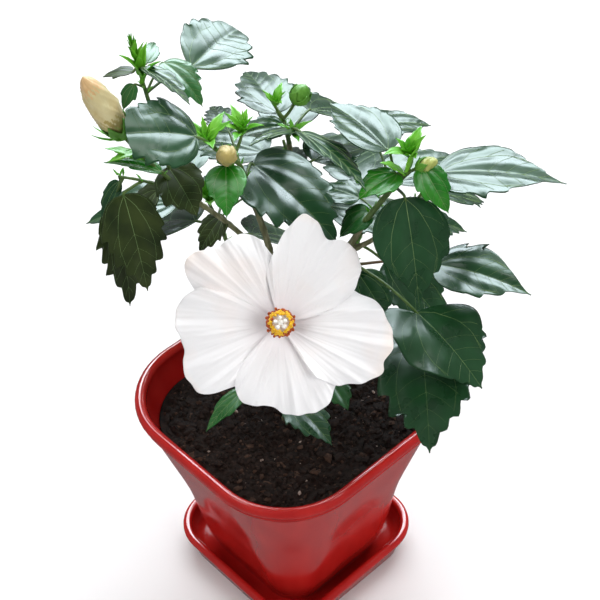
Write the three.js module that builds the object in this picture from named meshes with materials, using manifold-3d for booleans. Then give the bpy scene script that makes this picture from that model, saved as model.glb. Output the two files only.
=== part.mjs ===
// A hibiscus shrub in its red plastic pot and saucer, in millimetres, +Z up.
// The origin is the centre of the saucer's flat underside. The open flower faces the front, -Y.
// A corner of the square pot faces the front too.
import * as THREE from 'three';
import { mergeVertices } from 'three/addons/utils/BufferGeometryUtils.js';
import Module from 'manifold-3d';

const wasm = await Module();
wasm.setup();

// Driving sizes
const GAP = 0.3; // clearance between pieces that touch
const MERGE = 1e-3; // vertices nearer than this are one
const RIM_HALF = 85; // half the width of the pot across its flats, at the rim
const RIM_HEIGHT = 155;
const POT_FOOT = 5; // height of the pot's underside, on the saucer's floor
const POT_WALL = 3;
const SOIL_TOP = 132;
const SAUCER_HALF = 64.5;
const SAUCER_HEIGHT = 21.6;
const CORNER_STEPS = 4; // faces round each corner of the pot
const LEAF_THICK = 1;
const YOUNG_THICK = 0.8;
const STALK_THICK = 1.2; // radius of a leaf stalk at the stem
const GOLDEN_ANGLE = 137.5; // turn from one young leaf to the next
const YOUNG_OFFSET = 0.6; // from the middle of the stem to the foot of a young leaf
const MOST_YOUNG_LEAVES = 4; // at one growing tip
const GOLDEN_SHARE = 0.618; // the golden angle's share of a turn, for leaves spread over an arc
const LIMB_SIDES = 7;
const LIMB_STEPS = 6;
const FLARE_FALL = 14; // how soon the flare at a limb's foot dies out
const BUD_SIDES = 7;
const BRACTS = 4;
const LEAF_STEPS = 5; // faces along a leaf
const FOLD = 0.16; // rise of a leaf's halves from its midrib, for each mm across

const up = new THREE.Vector3(0, 0, 1);
const radians = THREE.MathUtils.degToRad;
const group = new THREE.Group();
group.name = 'hibiscus_shrub';

const looks = {
  pot: { color: 0xa8322c, roughness: 0.3 },
  saucer: { color: 0x9a2a26, roughness: 0.32 },
  soil: { color: 0x2a1c16, roughness: 1 },
  bark: { color: 0x6b5a3c, roughness: 0.85 },
  leaf: { color: 0x1f4a2c, roughness: 0.35 },
  petal: { color: 0xf6f1f0, roughness: 0.6 },
};

// A seeded run of numbers from 0 to 1, the same on every run
function seeded(seed) {
  let state = seed;
  return () => {
    state = (state * 16807) % 2147483647;
    return state / 2147483647;
  };
}

// Solids: a closed geometry becomes a solid that can be joined and cut
function solid(geometry) {
  geometry.deleteAttribute('normal');
  geometry.deleteAttribute('uv');
  const merged = mergeVertices(geometry, MERGE);
  return new wasm.Manifold(new wasm.Mesh({
    numProp: 3,
    vertProperties: new Float32Array(merged.attributes.position.array),
    triVerts: new Uint32Array(merged.index.array),
  }));
}

function join(pieces) {
  return pieces.reduce((whole, piece) => whole.add(piece));
}

function geometryOf(whole) {
  const { vertProperties, triVerts } = whole.getMesh();
  const geometry = new THREE.BufferGeometry();
  geometry.setAttribute('position', new THREE.BufferAttribute(vertProperties, 3));
  geometry.setIndex(new THREE.BufferAttribute(triVerts, 1));
  return geometry;
}

// The largest closed body of a solid, without loose scraps and sealed hollows. Merging vertices
// can part a body at a thin neck, so it is repeated until only one is left.
function largest(whole) {
  const bodies = solid(geometryOf(whole)).decompose();
  const best = bodies.reduce((most, body) => (body.volume() > most.volume() ? body : most));
  return bodies.length > 1 ? largest(best) : best;
}

function addNode(name, whole, look) {
  const geometry = geometryOf(whole);
  geometry.computeVertexNormals();
  const mesh = new THREE.Mesh(geometry, new THREE.MeshStandardMaterial(look));
  mesh.name = name;
  group.add(mesh);
}

function eachVertex(geometry, move) {
  const place = geometry.attributes.position;
  const vertex = new THREE.Vector3();
  for (let i = 0; i < place.count; i += 1) {
    move(vertex.fromBufferAttribute(place, i));
    place.setXYZ(i, vertex.x, vertex.y, vertex.z);
  }
  return geometry;
}

// A direction from its turn, 0 to the front and 90 to the right, and its rise above level
function heading(turn, rise) {
  const flat = Math.cos(radians(rise));
  return new THREE.Vector3(
    Math.sin(radians(turn)) * flat,
    -Math.cos(radians(turn)) * flat,
    Math.sin(radians(rise)),
  );
}

// Limbs: a tapering round limb along a smooth route, wider by flare at its foot
function limb(points, foot, tip, sides = 6, steps = 7, flare = 0) {
  const route = new THREE.CatmullRomCurve3(points.map((p) => new THREE.Vector3(...p)));
  const frames = route.computeFrenetFrames(steps);
  const tube = new THREE.CylinderGeometry(1, 1, 1, sides, steps);
  eachVertex(tube, (v) => {
    const ring = Math.round((v.y + 0.5) * steps);
    const along = ring / steps;
    const radius = foot + (tip - foot) * along + flare * Math.exp(-FLARE_FALL * along);
    const { x, z } = v;
    v.copy(route.getPointAt(along));
    v.addScaledVector(frames.normals[ring], x * radius);
    v.addScaledVector(frames.binormals[ring], -z * radius);
  });
  return solid(tube);
}

function pointAlong(points, at) {
  return new THREE.CatmullRomCurve3(points.map((p) => new THREE.Vector3(...p))).getPointAt(at);
}

// Leaf outline: half width from 0 to 1. A larger swell puts its widest place further from the base,
// and a larger draw gives it a longer point.
function leafOutline(v, { swell = 0.62, draw = 0.5 }) {
  return Math.sin(Math.PI * v ** swell) ** (0.7 + draw * v);
}

// A leaf blade from its foot: x across, y along and z up before it is turned into place
function blade(leaf, foot, across = 2, along = LEAF_STEPS) {
  const { length, width, face, dip } = leaf;
  const roll = leaf.roll ?? 0;
  const arch = radians(leaf.arch ?? 30);
  const thick = leaf.young ? YOUNG_THICK : LEAF_THICK;
  const start = arch / 2;
  const box = new THREE.BoxGeometry(2, 1, 1, across, along, 1);
  const turned = new THREE.Matrix4().makeRotationZ(radians(face + 180));
  turned.multiply(new THREE.Matrix4().makeRotationX(radians(dip)));
  turned.multiply(new THREE.Matrix4().makeRotationY(radians(roll)));
  eachVertex(box, (v) => {
    const station = Math.round((v.y + 0.5) * along);
    const share = (station / along) ** 1.15;
    const bend = start - arch * share;
    const tooth = leaf.young ? 1 : 1 + (station % 2 ? 0.06 : -0.05) * (share > 0.25 ? 1 : 0);
    const half = Math.max(0.5, 0.5 * width * leafOutline(share, leaf) * tooth);
    const x = v.x * half;
    const rise = FOLD * Math.abs(x) - (0.25 * x * x) / width + v.z * thick;
    const forward = (Math.sin(start) - Math.sin(bend)) / arch;
    const lift = (Math.cos(bend) - Math.cos(start)) / arch;
    v.set(x, length * forward - rise * Math.sin(bend), length * lift + rise * Math.cos(bend));
    v.applyMatrix4(turned).add(foot);
  });
  return solid(box);
}

// A leaf on its stalk, which sinks into the stem and runs on under the blade
function leafOnStem(stem, leaf) {
  const start = pointAlong(stem.route, leaf.at);
  if (leaf.young) {
    return blade(leaf, start.addScaledVector(heading(leaf.face, leaf.dip), YOUNG_OFFSET), 2, 2);
  }
  const foot = start.clone().addScaledVector(heading(leaf.turn, leaf.rise), leaf.stalk);
  const middle = start.clone().lerp(foot, 0.5).addScaledVector(up, 0.06 * leaf.stalk);
  const inBlade = foot.clone().addScaledVector(heading(leaf.face, leaf.dip), 3);
  const route = [start, middle, inBlade].map((p) => p.toArray());
  return join([limb(route, STALK_THICK, 0.8 * STALK_THICK, 3, 2), blade(leaf, foot)]);
}

// Young leaves at a growing tip: each turns by the golden angle, lower ones longer and flatter
function youngLeaves(stem, tip) {
  const random = seeded(tip.seed);
  const count = Math.min(tip.count, MOST_YOUNG_LEAVES);
  const leaves = [];
  for (let i = 0; i < count; i += 1) {
    const turn = (tip.start ?? 0) + GOLDEN_ANGLE * i + 20 * (random() - 0.5);
    const rise = (tip.rise ?? 70) - ((tip.spread ?? 50) * i) / count + 10 * (random() - 0.5);
    const length = tip.longest * (0.45 + (0.55 * (i + 1)) / count) * (0.85 + 0.3 * random());
    const at = 1 - (tip.depth ?? 0.2) * (i / count);
    leaves.push(leafOnStem(stem, {
      at, face: turn, dip: rise, length, width: 0.4 * length, arch: 50, young: true,
    }));
  }
  return leaves;
}

// Leaves that grow by rule: up the stem they are spread over an arc round the way it faces,
// each one higher and less hanging than the one below. hang is the dip of the lowest.
// A leaf that would touch another mass is skipped.
function grownLeaves(stem, others) {
  const { seed, count, facing, arc, length, hang } = stem.grown;
  const random = seeded(seed);
  const leaves = [];
  for (let i = 0; i < count; i += 1) {
    const height = (i + 0.5) / count;
    const turn = facing + arc * (((i * GOLDEN_SHARE) % 1) - 0.5) + 10 * (random() - 0.5);
    const long = length * (0.9 + 0.2 * random());
    const leaf = leafOnStem(stem, {
      at: height,
      turn,
      rise: -25 + 60 * height,
      stalk: 16 + 8 * random(),
      face: turn,
      dip: -hang * (1 - 0.9 * height),
      length: long,
      width: 0.68 * long,
    });
    if (leaf.intersect(others).isEmpty()) {
      leaves.push(leaf);
    }
  }
  return leaves;
}

// Buds: a pointed body in a cup of sepals, with narrow outer bracts. length runs from the cup's foot.
function bud(foot, turn, rise, length, width, sepals) {
  const profile = [[0, 0], [0.2, 0.1], [0.44, 0.3], [0.5, 0.5], [0.4, 0.74], [0.22, 0.92], [0, 1]];
  const spindle = new THREE.LatheGeometry(
    profile.map(([r, h]) => new THREE.Vector2(r * width, h * length)),
    BUD_SIDES,
  );
  const cupProfile = [[0, 0], [0.3, 0.06], [0.56, 0.28], [0.54, sepals], [0.3, sepals], [0, 0.2]];
  const cup = new THREE.LatheGeometry(
    cupProfile.map(([r, h]) => new THREE.Vector2(r * width, h * length)),
    BUD_SIDES,
  );
  const pieces = [spindle, cup];
  for (let i = 0; i < BRACTS; i += 1) {
    const bract = new THREE.ConeGeometry(0.1 * width, 0.42 * length, 3, 1);
    bract.translate(0, 0.2 * length, 0);
    bract.rotateZ(radians(-48));
    bract.translate(0.22 * width, 0.06 * length, 0);
    bract.rotateY((i * 2 * Math.PI) / BRACTS);
    pieces.push(bract);
  }
  const turned = new THREE.Matrix4().makeRotationFromQuaternion(
    new THREE.Quaternion().setFromUnitVectors(new THREE.Vector3(0, 1, 0), heading(turn, rise)),
  );
  turned.setPosition(foot.clone().addScaledVector(heading(turn, rise), -0.06 * length));
  return join(pieces.map((piece) => solid(piece.applyMatrix4(turned))));
}

// The pot and saucer: rings of a square with round corners, one ring for each [height, half, corner]
function roundedSquare(levels) {
  const steps = levels.length - 1;
  const perCorner = CORNER_STEPS + 1;
  const tube = new THREE.CylinderGeometry(1, 1, 1, 4 * perCorner, steps);
  eachVertex(tube, (v) => {
    const [height, half, corner] = levels[Math.round((v.y + 0.5) * steps)];
    const onAxis = Math.hypot(v.x, v.z) < 0.5;
    const place = (Math.round((Math.atan2(-v.z, v.x) / (2 * Math.PI)) * 4 * perCorner)
      + 4 * perCorner) % (4 * perCorner);
    const quarter = Math.floor(place / perCorner);
    const angle = radians(90 * (quarter + (place % perCorner) / CORNER_STEPS));
    const middle = radians(90 * quarter + 45);
    const inset = Math.SQRT2 * (half - corner);
    v.set(
      onAxis ? 0 : inset * Math.cos(middle) + corner * Math.cos(angle),
      onAxis ? 0 : inset * Math.sin(middle) + corner * Math.sin(angle),
      height,
    );
    v.applyAxisAngle(up, radians(45));
  });
  return solid(tube);
}

// Height, half width and corner radius of the pot's outside, from its foot to the top of its lip
const potOutside = [
  [POT_FOOT, 44, 20],
  [POT_FOOT + 2, 46, 21.5],
  [20, 50, 23],
  [40, 54.3, 26.5],
  [57, 57.8, 32.5],
  [80, 62.6, 40],
  [92, 66, 43],
  [112, 72, 46],
  [130, 77, 48.5],
  [144, 81.5, 52],
  [146, RIM_HALF - 2, 53],
  [149, RIM_HALF, 54],
  [152.5, RIM_HALF, 54],
  [RIM_HEIGHT, RIM_HALF - 2.5, 52],
];
const LIP_INSET = 7; // from the outside of the lip to the inner wall
const potInside = [
  [POT_FOOT + POT_WALL, 42.5, 18],
  [40, 50.7, 23],
  [57, 54.2, 29],
  [80, 59, 36.5],
  [92, 62.3, 39.5],
  [112, 68, 42.5],
  [130, 72.5, 45],
  [146, RIM_HALF - LIP_INSET, 47.5],
  [RIM_HEIGHT + 1, RIM_HALF - LIP_INSET + 1, 48.5],
];

function pot() {
  return roundedSquare(potOutside).subtract(roundedSquare(potInside));
}

// The soil fills the pot to SOIL_TOP, a gap inside its inner wall
function soil() {
  const below = potInside.filter(([height]) => height < SOIL_TOP);
  const top = [SOIL_TOP, 73, 45.2];
  const levels = [...below, top].map(([height, half, corner]) => [height, half - GAP, corner - GAP]);
  levels[0][0] += GAP;
  return roundedSquare(levels);
}

// The saucer has a rolled rim, a sloping wall and a low step round the pot's foot
function saucer() {
  const outside = roundedSquare([
    [0, SAUCER_HALF - 7.5, 27],
    [2, SAUCER_HALF - 5.5, 28],
    [SAUCER_HEIGHT - 5, SAUCER_HALF - 2.2, 29],
    [SAUCER_HEIGHT - 3, SAUCER_HALF, 30],
    [SAUCER_HEIGHT - 1, SAUCER_HALF, 30],
    [SAUCER_HEIGHT, SAUCER_HALF - 2, 29],
  ]);
  const inside = roundedSquare([
    [3, SAUCER_HALF - 7.5, 27.5],
    [SAUCER_HEIGHT - 4, SAUCER_HALF - 4.7, 28.3],
    [SAUCER_HEIGHT + 1, SAUCER_HALF - 3.9, 28.8],
  ]);
  const step = roundedSquare([
    [2, 44.5, 20.5],
    [POT_FOOT - GAP, 43.5, 19.5],
  ]);
  return outside.subtract(inside).add(step);
}

// Wood: the trunk and each bough, from foot to tip, with radii at both ends
const wood = {
  trunk: { route: [[2, -3, SOIL_TOP - 4], [0, 2, 158], [1, 6, 190]], foot: 5.2, tip: 4, flare: 4.5 },
  middle_bough: {
    from: 'trunk', route: [[1, 5, 183], [-5, 13, 235], [-9, 15, 268], [-16, 15, 300]], foot: 2.9, tip: 1.9,
  },
  right_bough: {
    from: 'trunk', route: [[3, 5, 181], [24, 11, 232], [39, 10, 267], [48, 8, 288]], foot: 3, tip: 2.1,
  },
  back_bough: {
    from: 'trunk', route: [[1, 5, 180], [4, 28, 232], [6, 40, 288], [5, 42, 318]], foot: 2.6, tip: 1.7,
  },
  left_bough: {
    from: 'middle_bough', route: [[-6, 14, 250], [-30, 11, 284], [-48, 5, 308]], foot: 2, tip: 1.6,
  },
  right_outer_bough: {
    from: 'right_bough', route: [[39, 10, 264], [54, 4, 279], [72, 4, 300]], foot: 1.8, tip: 1.4,
  },
  rear_left_bough: {
    from: 'trunk', route: [[0, 4, 172], [-22, 30, 204], [-36, 50, 232]], foot: 2.3, tip: 1.6,
  },
  rear_right_bough: {
    from: 'trunk', route: [[0, 4, 170], [26, 30, 204], [42, 50, 230]], foot: 2.3, tip: 1.6,
  },
};

function woodLimb(name, clearance = 0) {
  const { route, foot, tip, flare } = wood[name];
  return limb(route, foot + clearance, tip + clearance, LIMB_SIDES, LIMB_STEPS, flare ?? 0);
}

// A short disc that keeps other pieces a gap away from the flat end of a limb
function endClearance(end, before, radius) {
  const way = end.clone().sub(before).normalize();
  const disc = [end, end.clone().addScaledVector(way, GAP)].map((p) => p.toArray());
  const round = (radius + GAP) / Math.cos(Math.PI / LIMB_SIDES);
  return limb(disc, round, round, LIMB_SIDES, 1);
}

// A limb with the room round it and past both its ends
function woodClearance(name) {
  const { route, foot, tip } = wood[name];
  const points = route.map((p) => new THREE.Vector3(...p));
  const last = points.length - 1;
  return join([
    woodLimb(name, GAP),
    endClearance(points[0], points[1], foot),
    endClearance(points[last], points[last - 1], tip),
  ]);
}

// Foliage: each mass grows from the tip of its bough on one stem with its leaves, buds and young tip.
// In a leaf, at is the place of its stalk on the stem, from 0 to 1; turn, rise and stalk are the
// stalk's direction and length; face, dip, length and width are the blade's, and roll lowers its
// right side. A tip's outer leaves lean out from its rise by up to spread degrees.
const foliage = {
  left_upper_foliage: {
    from: 'left_bough',
    route: [[-48, 5, 308], [-60, 6, 332], [-66, 14, 358], [-72, 22, 384], [-75, 25, 396]],
    foot: 1.5,
    leaves: [
      { at: 0.72, turn: 145, rise: -7, stalk: 37, face: 157, dip: -5, length: 48, width: 38, roll: 28,
        swell: 1.2, draw: -0.1 },
      { at: 0.72, turn: 152, rise: 26, stalk: 20, face: 48, dip: -28, length: 34, width: 20, arch: 50 },
      { at: 0.86, turn: 38, rise: 37, stalk: 6, face: 49, dip: -12, length: 36, width: 13, roll: -15 },
      { at: 0.88, turn: -60, rise: -40, stalk: 4, face: -106, dip: -20, length: 20, width: 10 },
      { at: 0.75, turn: -59, rise: 39, stalk: 7, face: -36, dip: -45, length: 15, width: 10 },
      { at: 0.86, turn: 176, rise: -25, stalk: 19, face: 175, dip: 0, length: 21, width: 12 },
    ],
    tips: [{ seed: 11, count: 6, longest: 21, depth: 0.25, rise: 85, spread: 28 }],
  },
  left_bud_spray: {
    from: 'left_bough',
    route: [[-48, 5, 308], [-62, -2, 332], [-73, -6, 350], [-80, -5, 360]],
    foot: 1.4,
    leaves: [
      { at: 0.45, turn: 2, rise: 48, stalk: 6, face: -87, dip: 15, length: 32, width: 11 },
      { at: 0.7, face: -95, dip: 15, length: 22, width: 7, young: true },
      { at: 0.8, face: -80, dip: -15, length: 17, width: 6, young: true },
    ],
    buds: [{ turn: -98, rise: 66, length: 43, width: 18, sepals: 0.42 }],
  },
  left_hanging_foliage: {
    from: 'left_bough',
    route: [[-48, 5, 308], [-62, 3, 318], [-76, 0, 326], [-86, -2, 330]],
    foot: 1.3,
    leaves: [
      { at: 0.2, turn: -109, rise: 73, stalk: 18, face: 44, dip: -45, length: 32, width: 30 },
      { at: 0.7, turn: -58, rise: -18, stalk: 13, face: 23, dip: -60, length: 57, width: 33 },
      { at: 0.95, turn: -131, rise: -65, stalk: 30, face: 13, dip: -66, length: 62, width: 27, roll: -20 },
      { at: 0.45, turn: -154, rise: -48, stalk: 12, face: -70, dip: -50, length: 32, width: 24 },
      { at: 1, turn: -167, rise: -48, stalk: 15, face: -45, dip: -50, length: 24, width: 12 },
    ],
  },
  middle_foliage: {
    from: 'middle_bough',
    route: [[-16, 15, 300], [-21, 8, 330], [-25, -4, 343], [-25, -9, 349]],
    foot: 1.8,
    leaves: [
      { at: 0.85, turn: -60, rise: 52, stalk: 28, face: -68, dip: 22, length: 43, width: 44, roll: -28,
        swell: 0.9, draw: -0.1 },
      { at: 0.8, turn: -8, rise: 25, stalk: 12, face: 3, dip: -22, length: 32, width: 22 },
      { at: 0.3, turn: 168, rise: 3, stalk: 13, face: 50, dip: -21, length: 69, width: 50 },
      { at: 0.5, turn: -161, rise: 21, stalk: 23, face: -159, dip: -10, length: 36, width: 18 },
      { at: 0.06, turn: -96, rise: -45, stalk: 24, face: -44, dip: -40, length: 26, width: 18 },
    ],
    twigs: [
      { at: 0.75, turn: 150, rise: 45, length: 18, tip: { seed: 29, count: 8, longest: 18, rise: 75 } },
      { at: 0.8, turn: -80, rise: 50, length: 20, tip: { seed: 31, count: 4, longest: 20, rise: 70 } },
    ],
    buds: [{ turn: 0, rise: 42, length: 15, width: 11.5, sepals: 0.4 }],
  },
  back_foliage: {
    from: 'back_bough',
    route: [[5, 42, 318], [3, 42, 330], [2, 40, 338]],
    foot: 1.5,
    leaves: [
      { at: 0.5, turn: -133, rise: 55, stalk: 10, face: -157, dip: -8, length: 58, width: 31 },
      { at: 0.8, turn: 4, rise: 16, stalk: 7, face: -65, dip: 5, length: 28, width: 16, roll: -20 },
      { at: 0.6, turn: 30, rise: 26, stalk: 18, face: -56, dip: 5, length: 32, width: 15, roll: 20 },
      { at: 0.4, turn: 18, rise: 36, stalk: 37, face: 46, dip: -15, length: 52, width: 28, roll: -30 },
      { at: 0.2, turn: 150, rise: 10, stalk: 24, face: 140, dip: -35, length: 60, width: 40 },
    ],
    twigs: [
      { at: 0.9, turn: 80, rise: 60, length: 15, bud: { length: 13, width: 11, sepals: 0.8 } },
      { at: 1, turn: -100, rise: 60, length: 9, tip: { seed: 41, count: 5, longest: 15, rise: 80 } },
      { at: 0.6, turn: 20, rise: 20, length: 18, tip: { seed: 43, count: 4, longest: 14, rise: 60 } },
    ],
  },
  right_foliage: {
    from: 'right_bough',
    route: [[48, 8, 288], [60, 5, 310], [67, 1, 324], [72, -4, 334]],
    foot: 2,
    leaves: [
      { at: 0.7, turn: -106, rise: 77, stalk: 22, face: -139, dip: 5, length: 50, width: 38 },
      { at: 0.6, turn: -161, rise: 21, stalk: 41, face: 112, dip: -15, length: 40, width: 26 },
      { at: 0.88, turn: 72, rise: 43, stalk: 13, face: 30, dip: -26, length: 31, width: 18, roll: 20 },
      { at: 0.86, turn: -53, rise: 44, stalk: 6, face: -51, dip: -8, length: 28, width: 21 },
      { at: 0.62, turn: 18, rise: 22, stalk: 20, face: 11, dip: -48, length: 62, width: 41 },
      { at: 0.12, turn: 178, rise: -20, stalk: 8, face: -60, dip: -30, length: 24, width: 20 },
      { at: 0.2, turn: -150, rise: -10, stalk: 16, face: -113, dip: 0, length: 26, width: 22 },
    ],
    twigs: [
      { at: 1, turn: 90, rise: 25, length: 5, bud: { length: 16, width: 9.5, sepals: 0.6 } },
      { at: 0.95, turn: 170, rise: 50, length: 10, tip: { seed: 57, count: 6, longest: 18, rise: 75 } },
    ],
  },
  right_outer_foliage: {
    from: 'right_outer_bough',
    route: [[72, 4, 300], [79, 4, 311], [83, 4, 320]],
    foot: 1.3,
    leaves: [
      { at: 1, turn: 60, rise: 62, stalk: 9, face: 77, dip: 4, length: 71, width: 43, draw: 1 },
      { at: 0.3, turn: 130, rise: 0, stalk: 14, face: 125, dip: -35, length: 46, width: 32 },
    ],
  },
  right_lower_foliage: {
    from: 'trunk',
    route: [[3, 5, 174], [24, 2, 212], [42, 2, 261]],
    foot: 1.9,
    leaves: [
      { at: 1, turn: 51, rise: -14, stalk: 46, face: 46, dip: -27, length: 58, width: 62, swell: 0.55 },
      { at: 0.4, turn: 67, rise: 6, stalk: 63, face: 5, dip: -18, length: 66, width: 53 },
      { at: 0.95, turn: 40, rise: 10, stalk: 5, face: 41, dip: -40, length: 34, width: 26 },
      { at: 0.99, turn: 88, rise: 2, stalk: 47, face: 69, dip: -5, length: 58, width: 38, draw: 0.8 },
    ],
  },
  low_foliage: {
    from: 'trunk',
    route: [[1, 0, 152], [0, -14, 168], [2, -26, 180]],
    foot: 1.6,
    leaves: [
      { at: 0.6, turn: -76, rise: 20, stalk: 28, face: -44, dip: -20, length: 35, width: 13 },
      { at: 0.9, turn: 7, rise: 30, stalk: 13, face: 41, dip: -10, length: 40, width: 25 },
      { at: 0.8, turn: 87, rise: 22, stalk: 29, face: 28, dip: -10, length: 22, width: 16 },
    ],
  },
  rear_left_foliage: {
    from: 'rear_left_bough',
    route: [[-36, 50, 232], [-44, 62, 246], [-50, 68, 258]],
    foot: 1.5,
    leaves: [],
    grown: { seed: 67, count: 5, facing: -145, arc: 150, length: 60, hang: 45 },
    tips: [{ seed: 71, count: 5, longest: 20, rise: 75 }],
  },
  rear_right_foliage: {
    from: 'rear_right_bough',
    route: [[42, 50, 230], [50, 60, 246], [54, 66, 258]],
    foot: 1.5,
    leaves: [],
    grown: { seed: 59, count: 5, facing: 140, arc: 150, length: 60, hang: 45 },
    tips: [{ seed: 73, count: 5, longest: 20, rise: 75 }],
  },
  rear_foliage: {
    from: 'back_bough',
    route: [[6, 38, 278], [4, 56, 290], [0, 66, 302]],
    foot: 1.4,
    leaves: [],
    grown: { seed: 83, count: 6, facing: 180, arc: 170, length: 54, hang: 25 },
  },
};

function twigRoute(stem, twig) {
  const start = pointAlong(stem.route, twig.at);
  const end = start.clone().addScaledVector(heading(twig.turn, twig.rise), twig.length);
  const middle = start.clone().lerp(end, 0.5).addScaledVector(up, -0.06 * twig.length);
  return [start, middle, end].map((p) => p.toArray());
}

function foliageMass(stem, others) {
  const pieces = [limb(stem.route, stem.foot, 0.65 * stem.foot, 5, 5)];
  for (const leaf of stem.leaves) {
    pieces.push(leafOnStem(stem, leaf));
  }
  if (stem.grown) {
    pieces.push(...grownLeaves(stem, others));
  }
  for (const tip of stem.tips ?? []) {
    pieces.push(...youngLeaves(stem, tip));
  }
  for (const one of stem.buds ?? []) {
    pieces.push(bud(pointAlong(stem.route, 1), one.turn, one.rise, one.length, one.width, one.sepals));
  }
  for (const twig of stem.twigs ?? []) {
    const route = twigRoute(stem, twig);
    pieces.push(limb(route, 1.1, 0.8, 4, 2));
    if (twig.tip) {
      pieces.push(...youngLeaves({ route }, twig.tip));
    }
    if (twig.bud) {
      const { length, width, sepals } = twig.bud;
      pieces.push(bud(pointAlong(route, 1), twig.turn, twig.rise, length, width, sepals));
    }
  }
  return join(pieces);
}

// The open flower: centre of its disc, the way it faces, and each petal's place round the disc
const flower = {
  centre: [2, -60, 275],
  turn: 4.5,
  rise: 45,
  depth: 16, // the throat lies this far behind the disc
  throat: 6,
  column: 30,
  petals: [
    { place: 25, reach: 60, spread: 37 },
    { place: 103, reach: 61, spread: 44 },
    { place: 181, reach: 53, spread: 43 },
    { place: 261, reach: 59, spread: 44 },
    { place: 320, reach: 59, spread: 34 },
  ],
  stalk: [[0, -10, 216], [1, 2, 200], [1, 6, 186]],
};

// A petal is a sector of the disc: x to the right, y up and z out of the flower's face
function petal(one, index, around = 6, outward = 4) {
  const box = new THREE.BoxGeometry(2, 1, 1, around, outward, 1);
  eachVertex(box, (v) => {
    const share = v.y + 0.5;
    const edge = Math.abs(v.x);
    const reach = one.reach * (1 - 0.26 * edge ** 3 + 0.025 * Math.sin(9 * v.x + 2 * index));
    const radius = flower.throat + (reach - flower.throat) * share;
    const angle = radians(one.place + one.spread * v.x * (1.2 - 0.2 * share));
    const funnel = -flower.depth * Math.exp(-radius / 12);
    const overlap = 2.4 * v.x * (1 - 0.3 * share);
    const ruffle = 2.2 * share * share * Math.sin(7 * v.x + 3 * index);
    const recurve = -5 * share * share * share;
    const height = funnel + overlap + ruffle + recurve + v.z * LEAF_THICK;
    v.set(radius * Math.sin(angle), radius * Math.cos(angle), height);
  });
  return solid(box);
}

function openFlower() {
  const out = heading(flower.turn, flower.rise);
  const high = up.clone().addScaledVector(out, -out.z).normalize();
  const right = new THREE.Vector3().crossVectors(high, out);
  const centre = new THREE.Vector3(...flower.centre);
  const placed = new THREE.Matrix4().makeBasis(right, high, out).setPosition(centre);
  const pieces = flower.petals.map((one, index) => petal(one, index));
  // The green cup behind the petals, with its throat filled
  const back = -flower.depth;
  const cup = new THREE.LatheGeometry([
    [0, back - 17], [2.5, back - 16], [5.5, back - 11], [7.5, back - 2], [9.5, back + 8], [7, back + 10],
    [0, back + 5],
  ].map(([r, h]) => new THREE.Vector2(r, h)), 10);
  cup.rotateX(Math.PI / 2);
  pieces.push(solid(cup));
  // The column with its filaments
  const column = new THREE.CylinderGeometry(1.7, 2.6, flower.column, 6, 1);
  column.rotateX(Math.PI / 2).translate(0, 0, back + flower.column / 2);
  pieces.push(solid(column));
  const filaments = 9;
  for (let i = 0; i < filaments; i += 1) {
    const filament = new THREE.ConeGeometry(0.9, 8, 3, 1);
    filament.rotateX(Math.PI).translate(0, 4, 0).rotateZ(radians(-62));
    filament.rotateX(Math.PI / 2).rotateZ((i * 2 * Math.PI) / filaments);
    filament.translate(0, 0, back + flower.column * (0.72 + 0.1 * (i % 3)));
    pieces.push(solid(filament));
  }
  const whole = join(pieces).transform(placed.toArray());
  const behind = centre.clone().addScaledVector(out, back - 14);
  const middle = centre.clone().addScaledVector(out, back - 32);
  const stalk = limb([behind.toArray(), middle.toArray(), ...flower.stalk], 1.6, 1.7, 6, 8);
  return whole.add(stalk);
}

// Assembly: each new piece keeps its gap to the wood that carries it and to the stems beside it
addNode('saucer', saucer(), looks.saucer);
addNode('pot', pot(), looks.pot);
addNode('soil', soil(), looks.soil);

const standing = [];
for (const [name, { from }] of Object.entries(wood)) {
  let whole = woodLimb(name);
  for (const other of standing) {
    whole = whole.subtract(woodClearance(other));
  }
  whole = largest(whole);
  if (!from) {
    whole = whole.trimByPlane([0, 0, 1], SOIL_TOP + GAP);
  }
  addNode(name, whole, looks.bark);
  standing.push(name);
}

const woodRoom = join(standing.map((name) => woodClearance(name)));
let stemRoom = woodRoom;
let others = woodRoom;
for (const [name, stem] of Object.entries(foliage)) {
  const whole = largest(foliageMass(stem, others).subtract(stemRoom));
  addNode(name, whole, looks.leaf);
  others = others.add(whole);
  stemRoom = stemRoom.add(limb(stem.route, stem.foot + GAP, 0.65 * stem.foot + GAP, 5, 5));
}
addNode('open_flower', largest(openFlower().subtract(stemRoom)), looks.petal);

export default group;
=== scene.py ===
"""A potted hibiscus shrub with one open white flower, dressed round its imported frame."""

import math

import bmesh
import bpy
import numpy as np
from mathutils import Matrix, Vector, noise
from mathutils.bvhtree import BVHTree


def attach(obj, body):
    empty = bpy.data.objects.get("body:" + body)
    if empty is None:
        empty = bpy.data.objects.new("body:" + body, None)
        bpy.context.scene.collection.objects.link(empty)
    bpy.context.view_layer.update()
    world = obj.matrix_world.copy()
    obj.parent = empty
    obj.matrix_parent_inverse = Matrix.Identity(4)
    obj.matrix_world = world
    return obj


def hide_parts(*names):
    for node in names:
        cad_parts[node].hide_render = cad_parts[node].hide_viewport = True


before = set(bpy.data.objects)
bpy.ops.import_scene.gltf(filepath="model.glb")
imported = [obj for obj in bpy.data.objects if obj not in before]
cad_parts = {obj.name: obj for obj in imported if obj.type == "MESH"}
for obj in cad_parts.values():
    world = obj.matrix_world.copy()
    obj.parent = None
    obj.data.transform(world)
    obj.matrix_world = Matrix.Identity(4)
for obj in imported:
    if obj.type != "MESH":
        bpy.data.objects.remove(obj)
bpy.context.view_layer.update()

MM = 0.001  # sizes and places below are in millimetres, as in the part's source
GOLDEN_ANGLE = 137.5
GOLDEN_SHARE = 0.618
FOLD = 0.16  # rise of a leaf's halves from its midrib, for each mm across
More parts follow.
